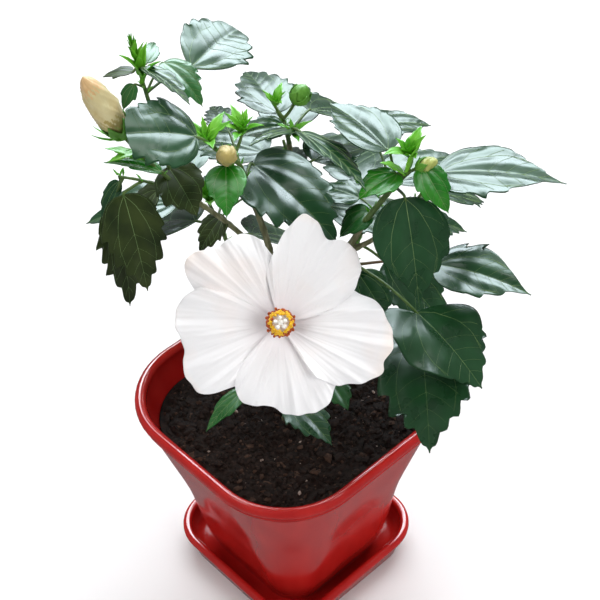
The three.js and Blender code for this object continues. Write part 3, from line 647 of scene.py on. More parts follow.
FOLIAGE = {
    "left_upper_foliage": dict(
        side="left", foot=1.5,
        route=[[-48, 5, 308], [-60, 6, 332], [-66, 14, 358], [-72, 22, 384], [-75, 25, 396]],
        leaves=[
            leaf(0.72, 145, -7, 37, 150, -3, 47, 40, roll=17, swell=0.95, draw=0, fold=0.18, arch=25,
                 teeth=4, start=0.35, depth=0.06, sharp=0),
            leaf(0.72, 152, 26, 20, 48, -28, 34, 20, "mid", arch=50),
            leaf(0.86, 38, 37, 6, 49, -12, 36, 13, roll=-15, teeth=3, fold=0.4),
            leaf(0.88, -60, -40, 4, -106, -20, 20, 10, "olive", teeth=2),
            leaf(0.75, -59, 39, 7, -36, -45, 15, 10, "mid", teeth=2),
            leaf(0.86, 176, -25, 19, 175, 0, 21, 12, "mid", teeth=3),
        ],
        tips=[dict(seed=11, count=7, longest=21, depth=0.25, rise=85, spread=28)],
    ),
    "left_bud_spray": dict(
        side="left", foot=1.4,
        route=[[-48, 5, 308], [-62, -2, 332], [-73, -6, 350], [-80, -5, 360]],
        leaves=[
            leaf(0.45, 2, 48, 6, -87, 15, 32, 11, "bright", teeth=2, fold=0.4),
            young_leaf(-95, 15, 22, 7, at=0.7),
            young_leaf(-80, -15, 17, 6, at=0.8),
        ],
        buds=[dict(turn=-98, rise=66, length=43, width=16, sepals=0.32, look="cream")],
    ),
    "left_hanging_foliage": dict(
        side="left", foot=1.3,
        route=[[-48, 5, 308], [-62, 3, 318], [-76, 0, 326], [-86, -2, 330]],
        leaves=[
            leaf(0.2, -109, 73, 18, 44, -45, 32, 30, "olive", teeth=4),
            leaf(0.7, -58, -18, 13, 23, -60, 57, 33, "olive", depth=0.06),
            leaf(0.95, -131, -65, 30, 13, -66, 62, 27, "olive", roll=-20, depth=0.06),
            leaf(0.45, -154, -48, 12, -70, -50, 32, 24, "olive"),
            leaf(1, -167, -48, 15, -45, -50, 24, 12, teeth=3),
        ],
    ),
    "middle_foliage": dict(
        side="middle", foot=1.8,
        route=[[-16, 15, 300], [-21, 8, 330], [-25, -4, 343], [-25, -9, 349]],
        leaves=[
            leaf(0.85, -60, 52, 28, -70, 18, 39, 42, roll=-20, swell=0.85, draw=-0.4, fold=0.10,
                 lobes=0.12, teeth=4, start=0.3, depth=0.06, sharp=0.1),
            leaf(0.8, -8, 25, 12, 3, -22, 32, 22, "bright", teeth=3, start=0.5, depth=0.04),
            leaf(0.3, 168, 3, 13, 50, -21, 69, 50, lobes=0.15, teeth=5, start=0.35, depth=0.06),
            leaf(0.5, -161, 21, 23, -159, -10, 36, 18),
            leaf(0.06, -96, -45, 24, -44, -40, 26, 18, "olive", teeth=4),
        ],
        twigs=[
            dict(at=0.75, turn=150, rise=45, length=18, tip=dict(seed=29, count=9, longest=18, rise=75)),
            dict(at=0.8, turn=-80, rise=50, length=20, tip=dict(seed=31, count=5, longest=20, rise=70)),
        ],
        buds=[dict(turn=0, rise=42, length=15, width=11, sepals=0.5, look="yellow")],
    ),
    "back_foliage": dict(
        side="middle", foot=1.5,
        route=[[5, 42, 318], [3, 42, 330], [2, 40, 338]],
        leaves=[
            leaf(0.5, -133, 55, 10, -157, -8, 58, 31),
            leaf(0.8, 4, 16, 7, -65, 5, 28, 16, roll=-20, teeth=3),
            leaf(0.6, 30, 26, 18, -56, 5, 32, 15, roll=20, teeth=3),
            leaf(0.4, 18, 36, 37, 46, -15, 52, 28, roll=-30, teeth=4, start=0.4),
            leaf(0.2, 150, 10, 24, 140, -35, 60, 40),
        ],
        twigs=[
            dict(at=0.9, turn=80, rise=60, length=15,
                 bud=dict(length=13, width=11, sepals=0.8, look="calyx")),
            dict(at=1, turn=-100, rise=60, length=9, tip=dict(seed=41, count=5, longest=15, rise=80)),
            dict(at=0.6, turn=20, rise=20, length=18, tip=dict(seed=43, count=4, longest=14, rise=60)),
        ],
    ),
    "right_foliage": dict(
        side="right", foot=2,
        route=[[48, 8, 288], [60, 5, 310], [67, 1, 324], [72, -4, 334]],
        leaves=[
            leaf(0.7, -106, 77, 22, -139, 5, 50, 38, teeth=5, start=0.4, depth=0.04, fold=(0.05, 0.45)),
            leaf(0.6, -161, 21, 41, 112, -15, 40, 26, teeth=4, depth=0.03),
            leaf(0.88, 72, 43, 13, 30, -26, 31, 18, "bright", roll=20, teeth=3, depth=0.04),
            leaf(0.86, -53, 44, 6, -51, -8, 28, 21, "bright", teeth=3, depth=0.05),
            leaf(0.62, 18, 22, 20, 11, -48, 62, 42, swell=0.64, draw=1.1, teeth=(3, 4),
                 start=(0.62, 0.4), depth=0.035),
            leaf(0.12, 178, -20, 8, -60, -30, 24, 20, "mid", teeth=3),
            leaf(0.2, -150, -10, 16, -113, 0, 26, 22, teeth=3),
            young_leaf(60, 74, 20, 11, at=0.97),
            young_leaf(-70, 40, 19, 9, at=0.90),
        ],
        twigs=[
            dict(at=1, turn=90, rise=25, length=4,
                 bud=dict(length=13, width=8.5, sepals=0.62, look="lime")),
            dict(at=0.95, turn=170, rise=50, length=10,
                 tip=dict(seed=57, count=6, longest=18, rise=75, broad=0.12)),
        ],
    ),
    "right_outer_foliage": dict(
        side="right", foot=1.3,
        route=[[72, 4, 300], [79, 4, 311], [83, 4, 320]],
        leaves=[
            leaf(1, 60, 62, 9, 77, 4, 71, 43, draw=1, teeth=(4, 8), start=(0.3, 0.1),
                 depth=(0.035, 0.018), sharp=0.3),
            leaf(0.3, 130, 0, 14, 125, -35, 46, 32),
        ],
    ),
    "right_lower_foliage": dict(
        side="right", foot=1.9,
        route=[[3, 5, 174], [24, 2, 212], [42, 2, 261]],
        leaves=[
            leaf(1, 51, -14, 46, 46, -27, 58, 58, swell=0.66, lobes=(0.6, -0.15), fold=(0.22, 0.08),
                 teeth=(2, 4), start=(0.75, 0.55), depth=0.055, sharp=0.1),
            leaf(0.4, 75, 11, 62, 3, -20, 77, 58, arch=50, teeth=(4, 5), start=0.4,
                 depth=(0.075, 0.05), sharp=0.5),
            leaf(0.95, 40, 10, 5, 41, -40, 34, 26, teeth=4),
            leaf(0.99, 88, 2, 47, 69, -5, 58, 38, draw=0.8, fold=(0.06, 0.3), teeth=(3, 2),
                 start=(0.4, 0.02), end=(0.96, 0.4), depth=(0.03, 0.09), sharp=(0.5, 1), stalk_look=1),
        ],
    ),
    "low_foliage": dict(
        side="middle", foot=1.6,
        route=[[1, 0, 152], [0, -14, 168], [2, -26, 180]],
        leaves=[
            leaf(0.6, -76, 20, 28, -44, -20, 35, 13, "mid", teeth=2, depth=0.02),
            leaf(0.9, 7, 30, 13, 41, -10, 40, 25),
            leaf(0.8, 87, 22, 29, 28, -10, 22, 16, "mid", teeth=3),
        ],
    ),
    "rear_left_foliage": dict(
        side="rear", foot=1.5,
        route=[[-36, 50, 232], [-44, 62, 246], [-50, 68, 258]],
        grown=dict(seed=67, count=5, facing=-145, arc=150, length=60, hang=45),
        tips=[dict(seed=71, count=5, longest=20, rise=75)],
    ),
    "rear_right_foliage": dict(
        side="rear", foot=1.5,
        route=[[42, 50, 230], [50, 60, 246], [54, 66, 258]],
        grown=dict(seed=59, count=5, facing=140, arc=150, length=60, hang=45),
        tips=[dict(seed=73, count=5, longest=20, rise=75)],
    ),
    "rear_foliage": dict(
        side="rear", foot=1.4,
        route=[[6, 38, 278], [4, 56, 290], [0, 66, 302]],
        grown=dict(seed=83, count=6, facing=180, arc=170, length=54, hang=25),
    ),
}

LEAF_LOOKS = ["dark", "mid", "bright", "olive", "young", "under"]
BUD_LOOKS = ["cream", "peach", "yellow", "lime", "calyx"]


class Plant:
    """Gathers the plant's shapes by kind."""

    def __init__(self):
        self.blades = {stem["side"]: Shapes() for stem in FOLIAGE.values()}
        self.young = Shapes()
        self.veins = Shapes()
        self.stalks = Shapes()
        self.buds = Shapes()
        self.random = seeded(5)
        self.placed = []
        self.side = "middle"

    def blade(self, one, foot):
        """A leaf's blade, with its veins unless it is young."""
        young = one.get("young", False)
        look = LEAF_LOOKS.index(one["look"])
        pattern = LeafPattern(one, self.random)
        if young:
            return pattern.add_to(self.young, foot, look, look)
        pattern.add_veins(self.veins, foot)
        return pattern.add_to(self.blades[self.side], foot, look, LEAF_LOOKS.index("under"))

    def leaf_on_stem(self, route, one):
        """A leaf with its stalk, or a young one that sits on the stem itself."""
        start = point_along(route, one["at"])
        if one.get("young"):
            return self.blade(one, start + 0.6 * heading(one["face"], one["dip"]))
        foot = start + one["stalk"] * heading(one["turn"], one["rise"])
        middle = (start + foot) / 2 + UP * 0.06 * one["stalk"]
        inside = foot + 3 * heading(one["face"], one["dip"])
        rings = 14
        stalk = smooth_route([start, middle, foot, inside], rings)
        thick = 0.50 + 0.006 * one["length"]
        radii = thick * (1 + 0.35 * np.abs(np.linspace(-1, 1, rings)) ** 6)
        radii[-3:] *= [0.9, 0.75, 0.4]
        tube(self.stalks, stalk, radii, 8, look=one.get("stalk_look", 0))
        self.stipules(start, one)
        return self.blade(one, foot)

    def stipules(self, start, one):
        """Two narrow scales beside the foot of a leaf's stalk."""
        for side in (-1, 1):
            way = one["turn"] + side * 50
            self.blade(young_leaf(way, 50, 4.5, 1.1, arch=40), start + 1.2 * heading(way, 20))

    def grown_leaves(self, stem):
        """Leaves by rule, spread over an arc up the stem; one that would touch another is skipped."""
        grown = stem["grown"]
        random = seeded(grown["seed"])
        for number in range(grown["count"]):
            height = (number + 0.5) / grown["count"]
            spread = (number * GOLDEN_SHARE) % 1 - 0.5
            turn = grown["facing"] + grown["arc"] * spread + 10 * (random() - 0.5)
            length = grown["length"] * (0.9 + 0.2 * random())
            one = leaf(height, turn, -25 + 60 * height, 16 + 8 * random(), turn,
                       -grown["hang"] * (1 - 0.9 * height), length, 0.68 * length)
            foot = point_along(stem["route"], height) + one["stalk"] * heading(turn, one["rise"])
            if self.is_free(one, foot):
                self.placed.append(self.leaf_on_stem(stem["route"], one))

    def is_free(self, one, foot):
        """Whether a leaf would touch none of those already there."""
        blade = LeafPattern(one, seeded(1)).add_to(Shapes(), foot, 0, 0)
        tree, *others = (
            BVHTree.FromPolygons(places.tolist(), faces.tolist()) for places, faces in (blade, *self.placed)
        )
        return not any(tree.overlap(other) for other in others)

    def young_leaves(self, route, tip):
        """Young leaves at a growing tip: each turns by the golden angle, lower ones longer."""
        random = seeded(tip["seed"])
        innermost = 5
        count = tip["count"] + innermost
        for number in range(count):
            share = number / count
            turn = GOLDEN_ANGLE * number + 20 * (random() - 0.5)
            rise = tip.get("rise", 70) - tip.get("spread", 50) * share + 10 * (random() - 0.5)
            length = tip["longest"] * (0.42 + 0.58 * share) * (0.85 + 0.3 * random())
            width = (0.22 + 0.14 * share + tip.get("broad", 0)) * length
            self.leaf_on_stem(route, young_leaf(
                turn, rise, length, width, at=1 - tip.get("depth", 0.2) * share, arch=-20 + 75 * share,
                fold=0.75 - 0.3 * share, teeth=3, start=0.45, depth=0.035, wave=0.06,
            ))
        for number in range(3):  # the scales at the very tip
            way = 120 * number + 40 * random()
            scale = young_leaf(way, 74, 0.34 * tip["longest"], 1.0, at=0.97, arch=-15, fold=0.3, depth=0)
            self.leaf_on_stem(route, scale)

    def stem(self, route, foot, tip):
        """A green stem, a little uneven."""
        rings = 30
        radii = np.linspace(foot, tip, rings) * (1 + 0.05 * np.sin(np.arange(rings) * 1.9))
        tube(self.stalks, smooth_route(route, rings), radii, 10)

    def mass(self, stem):
        """One mass of foliage: its stem, and the leaves, tips, buds and twigs on it."""
        self.side = stem["side"]
        self.stem(stem["route"], 0.95 * stem["foot"], 0.62 * stem["foot"])
        for one in stem.get("leaves", []):
            self.placed.append(self.leaf_on_stem(stem["route"], one))
        if "grown" in stem:
            self.grown_leaves(stem)
        for tip in stem.get("tips", []):
            self.young_leaves(stem["route"], tip)
        for one in stem.get("buds", []):
            self.bud(point_along(stem["route"], 1), one)
        for twig in stem.get("twigs", []):
            start = point_along(stem["route"], twig["at"])
            end = start + twig["length"] * heading(twig["turn"], twig["rise"])
            middle = (start + end) / 2 - UP * 0.06 * twig["length"]
            route = [start, middle, end]
            self.stem(route, 1.0, 0.8)
            if "tip" in twig:
                self.young_leaves(route, twig["tip"])
            if "bud" in twig:
                self.bud(end, {"turn": twig["turn"], "rise": twig["rise"], **twig["bud"]})

    def bud(self, foot, one):
        """A furled corolla in a toothed green cup, with narrow bracts below it."""
        out = heading(one["turn"], one["rise"])
        across = np.cross(UP, out)
        across /= np.linalg.norm(across)
        basis = np.stack([across, np.cross(out, across), out], axis=1)
        start = foot - 0.06 * one["length"] * out
        length, width = one["length"], one["width"]
        self.corolla(start, basis, length, width, one["look"])
        self.cup(start, basis, length, width, one["sepals"])
        self.bracts(start, basis, length=0.30 * length + 2, width=0.05 * width + 0.9, out=0.2 * width)

    def bracts(self, start, basis, length, width, out, lean=0.72):
        """Narrow leaves in a ring below a cup."""
        count = 7
        for number in range(count):
            angle = math.radians(number * 360 / count + 20 * (self.random() - 0.5))
            side = basis @ np.array([math.cos(angle), math.sin(angle), 0])
            way = side * lean + basis[:, 2] * 0.7
            way /= np.linalg.norm(way)
            turn = math.degrees(math.atan2(way[0], -way[1]))
            rise = math.degrees(math.asin(way[2]))
            foot = start + side * out + basis[:, 2] * 0.15 * length
            self.blade(young_leaf(turn, rise, length, width, arch=-35, depth=0), foot)

    def corolla(self, start, basis, length, width, look):
        """Petals rolled round each other, each edge a ridge that winds up to the tip."""
        rows, sides, petals, winding = 56, 50, 5, 2.2
        share = np.linspace(0.02, 1, rows)[:, None]
        turns = turns_round(sides)[None]
        profile = np.interp(share, [0, 0.1, 0.3, 0.5, 0.74, 0.9, 0.97, 1],
                            [0, 0.2, 0.43, 0.5, 0.42, 0.26, 0.14, 0.02])
        spiral = (petals * turns / (2 * np.pi) + winding * share) % 1
        pleats = 0.035 * np.sin(6 * np.pi * spiral + 9 * share)
        folds = 1 + (0.17 * (spiral - 0.5) + pleats) * np.clip(share * 2.5, 0, 1)
        radius = profile * folds * width
        lean = 0.05 * width * share**2
        places = places_of(radius * np.cos(turns) + lean, radius * np.sin(turns), share * length)
        ends = np.array([[0, 0, 0.02 * length], [0.05 * width, 0, 1.01 * length]])
        looks = np.full((rows - 1, sides), BUD_LOOKS.index(look))
        if look == "cream":
            tinted = (share + 0.06 * np.sin(6 * np.pi * spiral))[:-1]
            looks[tinted > 0.80] = BUD_LOOKS.index("peach")
            looks[tinted < 0.36] = BUD_LOOKS.index("yellow")
            looks[tinted < 0.22] = BUD_LOOKS.index("lime")
        self.buds.add_rings(places @ basis.T + start, sides, ends @ basis.T + start,
                            look=[looks.ravel(), BUD_LOOKS.index(look)])

    def cup(self, start, basis, length, width, sepals):
        """The green cup, a closed shell whose rim is drawn out into five points."""
        rows, sides, points, thick = 12, 60, 5, 0.045
        turns = turns_round(sides)[None]
        point = (np.abs(((points * turns / (2 * np.pi)) % 1) - 0.5) * 2) ** 1.3
        top = sepals * (0.50 + 0.54 * point)
        share = np.linspace(0, 1, rows)[:, None]
        height = share * top
        body = np.interp(height, [0, 0.06, 0.2, 0.35, 0.5, 0.8, 1], [0.05, 0.3, 0.46, 0.53, 0.56, 0.5, 0.3])
        shells = []
        for offset in (0.0, -thick):
            radius = np.maximum((body + offset) * width, 0.3)
            level = (height - offset * 0.5 * (1 - share)) * length
            shells.append(places_of(radius * np.cos(turns), radius * np.sin(turns), level))
        vertices = np.vstack(shells) @ basis.T + start
        count = rows * sides
        quads = grid_faces(rows, sides, closed=True)
        first = np.arange(sides)
        last = first + count - sides
        lip = np.stack([last, np.roll(last, -1), np.roll(last, -1) + count, last + count], axis=1)
        floor = strip(first, first + count)
        self.buds.add(vertices, quads, quads[:, ::-1] + count, lip, floor, look=BUD_LOOKS.index("calyx"))


def woody_limb(name, numbers, materials):
    """A bough with the relief of its bark: long cracks, and a ring at each old leaf."""
    foot, tip = numbers["foot"], numbers["tip"]
    spacing, node_gap = 1.1, 17.0
    rough = smooth_route(numbers["route"], 60)
    length = float(np.linalg.norm(np.diff(rough, axis=0), axis=1).sum())
    rings, sides = int(length / spacing), 26
    route = smooth_route(numbers["route"], rings)
    along = np.linspace(0, 1, rings)
    radii = foot + (tip - foot) * along + numbers.get("flare", 0) * np.exp(-14 * along)
    if name != "trunk":
        radii = radii - 0.3 + 0.9 * np.exp(-along * length / 5)
    random = seeded(len(name) * 97 + rings)
    for number in range(int(length / node_gap)):
        place = (number + 0.4 + 0.4 * random()) * node_gap / length
        radii = radii + 0.35 * np.exp(-(((along - place) * length) / 1.6) ** 2)
    relief = np.zeros((rings, sides))
    for ring in range(rings):
        for side, turn in enumerate(turns_round(sides)):
            height = along[ring] * length * 0.09
            spot = Vector((math.cos(turn) * 2.2 + len(name), math.sin(turn) * 2.2, height))
            relief[ring, side] = 0.22 * noise.noise(spot) + 0.12 * noise.noise(spot * 3.1)
    shapes = Shapes()
    tube(shapes, route, radii[:, None] + relief, sides)
    shapes.piece("bark_" + name, [materials["bark"]], "bark", [name])


# The open flower. Petals are drawn in the flower's own plane: places round it run clockwise.

FLOWER = dict(
    centre=np.array([2.0, -60.0, 275.0]), turn=4.5, rise=45, depth=16, throat=6, column=30,
    stalk=[[0, -10, 216], [1, 2, 200], [1, 6, 186]],
)
# Each petal: where its edge passes, as (place round the flower in degrees, reach), from its
# hidden edge under one neighbour to the other, whether each side lies over or under, and how
# much its end is ruffled
PETALS = [
    dict(edge=[(-12, 30), (-4, 36), (8, 52), (15, 60), (22, 59), (33, 52), (40, 56), (48, 56.5),
               (57, 54), (66, 47), (73, 40), (80, 30)], sides=(1, 1), ruffle=0.6),
    dict(edge=[(60, 32), (68, 42), (75, 48), (82, 54), (90, 57), (98, 61), (106, 62), (114, 60),
               (119, 62), (126, 58), (134, 51), (142, 45), (150, 35)], sides=(-1, 1), ruffle=1.5),
    dict(edge=[(130, 34), (139, 44), (146, 47.5), (154, 51.5), (163, 52), (172, 51), (181, 49.5),
               (190, 45.5), (200, 47), (209, 47.5), (217, 44), (226, 34)], sides=(-1, 1), ruffle=0.9),
    dict(edge=[(212, 36), (222, 46), (231, 57.5), (239, 59), (248, 58), (257, 54.5), (267, 55),
               (275, 57.5), (285, 55.5), (294, 50), (303, 40)], sides=(-1, 1), ruffle=0.8),
    dict(edge=[(284, 40), (292, 48), (299, 56), (304, 60.5), (310, 61), (316, 57.5), (323, 53.5),
               (331, 53.5), (339, 53), (347, 48.5), (356, 38), (364, 30)], sides=(-1, -1), ruffle=1.3),
]
FOLDS = ((2, 1.6), (3, 1.2), (5, 0.9), (8, 0.65), (13, 0.40), (21, 0.20))  # how many, and their height
# Ruffles of the edge: height, how near the edge they keep, how many, and their shift to the next petal
RUFFLES = ((1.6, 4, 5.5, 2.4), (1.2, 5, 13, 1.3), (0.55, 6, 31, 2.1))
FLOWER_LOOKS = ["column", "pollen", "rust", "stigma"]


def flower_basis():
    """The flower's right, its top and the way it faces, as columns."""
    out = heading(FLOWER["turn"], FLOWER["rise"])
    high = UP - out * out[2]
    high /= np.linalg.norm(high)
    return np.stack([np.cross(high, out), high, out], axis=1)


def in_flower(places):
    """Places in the flower's own plane, as places of the plant."""
    return np.asarray(places, float) @ flower_basis().T + FLOWER["centre"]


def petal_reach(edge, places):
    """The petal's edge as a smooth curve through its points."""
    known = np.array(edge, float)
    even = smooth_route(np.c_[known, np.zeros(len(known))], 240)
    return np.interp(places, even[:, 0], even[:, 1])


def petal(shapes, number, one):
    """A thin petal: a funnel to the throat, with folds, a ruffled edge and its place over its neighbours."""
    around, outward, thick = 110, 60, 0.3
    start, end = one["edge"][0][0], one["edge"][-1][0]
    share_round = np.linspace(-1, 1, around)[None]
    share_out = np.linspace(0, 1, outward)[:, None]
    middle, spread = (start + end) / 2, (end - start) / 2
    place = middle + spread * share_round
    random = seeded(31 + number)
    crinkle = sum(
        0.30 * math.sin(6.28 * random()) * np.sin(k * np.radians(place) * 5 + 6.28 * random())
        for k in range(2, 9)
    )
    reach = petal_reach(one["edge"], place) + crinkle * 0.7
    radius = FLOWER["throat"] + (reach - FLOWER["throat"]) * share_out
    angle = np.radians(middle + spread * share_round * (1.12 - 0.12 * share_out))
    funnel = -FLOWER["depth"] * np.exp(-radius / 12) + 0.13 * (radius - 30)
    under, over = one["sides"]
    side_lift = np.where(share_round < 0, -under * share_round, over * share_round)
    overlap = 2.8 * side_lift * np.abs(share_round) * (1 - 0.3 * share_out)
    folds = 0
    for count, size in FOLDS:
        phase = 6.28 * random()
        sway = 0.6 * np.sin(2.5 * share_out + 6.28 * random())
        wave = np.sin(count * share_round * 2.2 + phase + sway)
        folds = folds + size * (1 - 2 * np.abs(wave) ** 0.8) * share_out**1.1 * 0.62
    ruffle = sum(
        size * share_out**power * np.sin(waves * share_round + shift * number)
        for size, power, waves, shift in RUFFLES
    )
    recurve = -3.5 * share_out**6
    height = funnel + overlap + folds + one["ruffle"] * ruffle + recurve
    x, y = radius * np.sin(angle), radius * np.cos(angle)
    top, bottom = (in_flower(places_of(x, y, level)) for level in (height + thick, height))
    shapes.add_sheet(top, bottom, outward, around)


def icosphere(subdivisions):
    """The places and faces of a ball of radius 1."""
    made = bmesh.new()
    bmesh.ops.create_icosphere(made, subdivisions=subdivisions, radius=1)
    made.verts.ensure_lookup_table()
    places = np.array([v.co[:] for v in made.verts])
    faces = np.array([[v.index for v in f.verts] for f in made.faces])
    made.free()
    return places, faces


BALL = icosphere(2)
LUMP = icosphere(1)


def lump(shapes, centre, size, look, random, squash=(1, 1, 1), shape=BALL, uneven=0.16):
    """A small uneven body: a ball, or with few faces a crumb."""
    places, faces = shape
    bumpy = places * (1 + uneven * np.array([random() - 0.5 for _ in range(len(places))])[:, None])
    turned = np.array(Matrix.Rotation(6.28 * random(), 3, "Z"))
    flat = 0 if shape is LUMP else None
    shapes.add((bumpy * size * np.array(squash)) @ turned.T + centre, faces, look=look, flat=flat)


def thread(shapes, foot, end, bow, rings, radius, sides, look=0):
    """A slim stalk in the flower, bowed a little. It returns the place of its tip."""
    route = in_flower([foot, (foot + end) / 2 + UP * bow, end])
    tube(shapes, smooth_route(route, rings), np.full(rings, radius), sides, look)
    return route[-1]


def stamens(shapes, random, back):
    """Threads all round the upper column, each with a grain: mostly rust below and yellow above."""
    count, lowest, spread = 110, 0.44, 0.50
    for number in range(count):
        share = lowest + spread * (number / count)
        angle = math.radians(GOLDEN_ANGLE * number)
        reach = 6.2 - 2.6 * (share - lowest) / spread + 1.2 * (random() - 0.5)
        foot = np.array([1.4 * math.cos(angle), 1.4 * math.sin(angle), back + share * FLOWER["column"]])
        side = np.array([math.cos(angle), math.sin(angle), 0.35 + 0.3 * random()])
        tip = thread(shapes, foot, foot + side * reach, bow=-0.4, rings=6, radius=0.16, sides=5)
        look = "rust" if share < 0.68 or random() < 0.12 else "pollen"
        lump(shapes, tip, 0.85 + 0.25 * random(), FLOWER_LOOKS.index(look), random, (1, 0.8, 0.9))


def stigmas(shapes, random, top):
    """Five pale knobs on short arms, round one more in their middle."""
    look = FLOWER_LOOKS.index("stigma")
    foot = np.array([0, 0, top - 1])
    for number in range(5):
        angle = math.radians(72 * number + 20)
        end = foot + np.array([2.7 * math.cos(angle), 2.7 * math.sin(angle), 3.6 + random()])
        tip = thread(shapes, foot, end, bow=0.7, rings=8, radius=0.5, sides=8, look=look)
        lump(shapes, tip, 1.15, look, random, (1, 1, 0.8), uneven=0.4)
    lump(shapes, in_flower([0, 0, top + 2]), 1.5, look, random)


def open_flower(materials):
    """The five petals, and the column with its stamens and stigmas."""
    petals = Shapes()
    for number, one in enumerate(PETALS):
        petal(petals, number, one)
    petals.piece("flower_petals", [materials["petal"]], "petal", ["open_flower"])

    inner = Shapes()
    random = seeded(77)
    back, long, rings = -FLOWER["depth"], FLOWER["column"], 20
    up = np.linspace(0, long + 4, rings)
    axis = in_flower(places_of(0.002 * up**2, -0.002 * up**2, back - 4 + up))
    tube(inner, axis, np.linspace(2.5, 1.3, rings), 16)
    stamens(inner, random, back)
    stigmas(inner, random, back + long)
    inner.piece("flower_column_and_stamens", [materials[k] for k in FLOWER_LOOKS], "petal")


def flower_back(plant):
    """The green cup behind the petals, its bracts and its stalk."""
    start, top, middle = (in_flower([0, 0, -FLOWER["depth"] - behind]) for behind in (17, 10, 32))
    rings = 50
    route = smooth_route([top, middle, *FLOWER["stalk"]], rings)
    tube(plant.stalks, route, np.linspace(1.5, 1.7, rings), 10)
    plant.cup(start, flower_basis(), length=36, width=17, sepals=0.60)
    plant.bracts(start, flower_basis(), length=14, width=2.6, out=2.6, lean=1.8)


# Pot, saucer and soil: rings of a square with round corners, turned a corner to the front.
# A profile is a list of (half width, height, corner radius).

def rounded_square(half, corner):
    """Places round the outline: a corner and the flat after it, four times."""
    per_corner, per_flat = 15, 5
    inset = half - corner
    angles = np.radians(np.linspace(0, 90, per_corner))
    flat = inset * (1 - 2 * np.arange(1, per_flat) / per_flat)
    side = np.vstack([
        inset + corner * np.c_[np.cos(angles), np.sin(angles)],
        np.c_[flat, np.full(per_flat - 1, half)],
    ])
    return np.vstack([side @ spin(45 + 90 * quarter).T for quarter in range(4)])


def shell(profile, name, materials, node):
    """A closed plastic body of rings whose ends close over the middle."""
    places = [(x, y, height) for half, height, corner in profile for x, y in rounded_square(half, corner)]
    ends = [(0, 0, profile[end][1]) for end in (0, -1)]
    shapes = Shapes()
    shapes.add_rings(places, len(places) // len(profile), ends)
    shapes.piece(name, [materials["plastic"]], "red_plastic", [node])


def arc(centre, radius, start, end, steps, corner):
    """A round edge of the profile, angles in degrees from straight out. corner is at its centre."""
    angles = np.radians(np.linspace(start, end, steps))
    return [
        (centre[0] + radius * math.cos(a), centre[1] + radius * math.sin(a), corner + radius * math.cos(a))
        for a in angles
    ]


def pot(materials):
    """The flared wall, outside and inside, with a rolled lip at the rim."""
    wall = [(46.3, POT_FOOT + 3, 21.6), (50, 20, 23), (54.3, 40, 26.5), (57.8, 57, 32.5), (62.9, 80, 38.5),
            (72, 112, 46), (77, 130, 48.5), (81, 143, 51.5)]
    inner = [(RIM_HALF - 7, 146, 47.5), (72.5, 130, 45), (68, 112, 42.5), (62.3, 92, 39.5),
             (59, 80, 36.5), (54.2, 57, 29), (50.7, 40, 23), (42.5, POT_FOOT + 3, 18)]
    profile = [(20, POT_FOOT, 10), (41, POT_FOOT, 17.5), *arc((43.9, 7), 2, -90, -20, 5, 19.5)]
    profile += list(smooth_route(wall, 34))
    profile += arc((82.0, 145.6), 1.2, -60, 60, 6, 51.5)
    profile += arc((RIM_HALF - 3.6, 151.2), 3.6, -50, 200, 22, RIM_CORNER - 3.6)
    profile += [*smooth_route(inner, 26), (20, POT_FOOT + 3, 10)]
    shell(profile, "pot_shell", materials, "pot")


def saucer(materials):
    """The shallow tray with its rolled rim, filled in under the pot."""
    top, half, corner = SAUCER_HEIGHT, SAUCER_HALF, SAUCER_CORNER
    profile = [(20, 0, 10), (54, 0, 25), *arc((57, 2), 2, -90, -30, 4, 25.5)]
    profile += [(60.3, 9, 28.3), (61.6, 15.5, 28.8), *arc((half - 3, top - 3), 3, -40, 190, 20, corner - 3)]
    profile += [(59.6, 16, 28.1), (58.5, 11, 27.8), (56.6, 7.4, 26.8), (53, 5.2, 24.8), (48.5, 4.0, 22.5)]
    profile += [(44.9, 3.3, 20.9), *arc((43, 3.7), 1, 0, 90, 4, 19.5), (20, POT_FOOT - 0.3, 10)]
    shell(profile, "saucer_tray", materials, "saucer")


def soil_relief(x, y):
    """How far the soil's clods rise above its level."""
    spot = Vector((x / 9, y / 9, 0))
    return 3.0 * noise.noise(spot) + 2.4 * noise.noise(spot * 2.2) + noise.noise(spot * 7.3)


def soil(materials):
    """The crumbly top of the soil, with crumbs, bits of bark and pale specks lying on it."""
    half, corner, deep = 72.6, 45, 8
    outline = rounded_square(half, corner)
    sides, rings = len(outline), 70
    places = []
    for ring in range(1, rings + 1):
        share = ring / rings
        for x, y in outline * share:
            places.append([x, y, SOIL_TOP + soil_relief(x, y) * min(1, 6 * (1.02 - share))])
    under = np.c_[outline * 0.97, np.full(sides, SOIL_TOP - deep)]
    shapes = Shapes()
    shapes.add_rings(np.vstack([places, under]), sides, [[0, 0, SOIL_TOP], [0, 0, SOIL_TOP - deep]])
    shapes.piece("soil_surface", [materials["soil"]], "potting_soil", ["soil"])
    soil_crumbs(materials, half, corner)


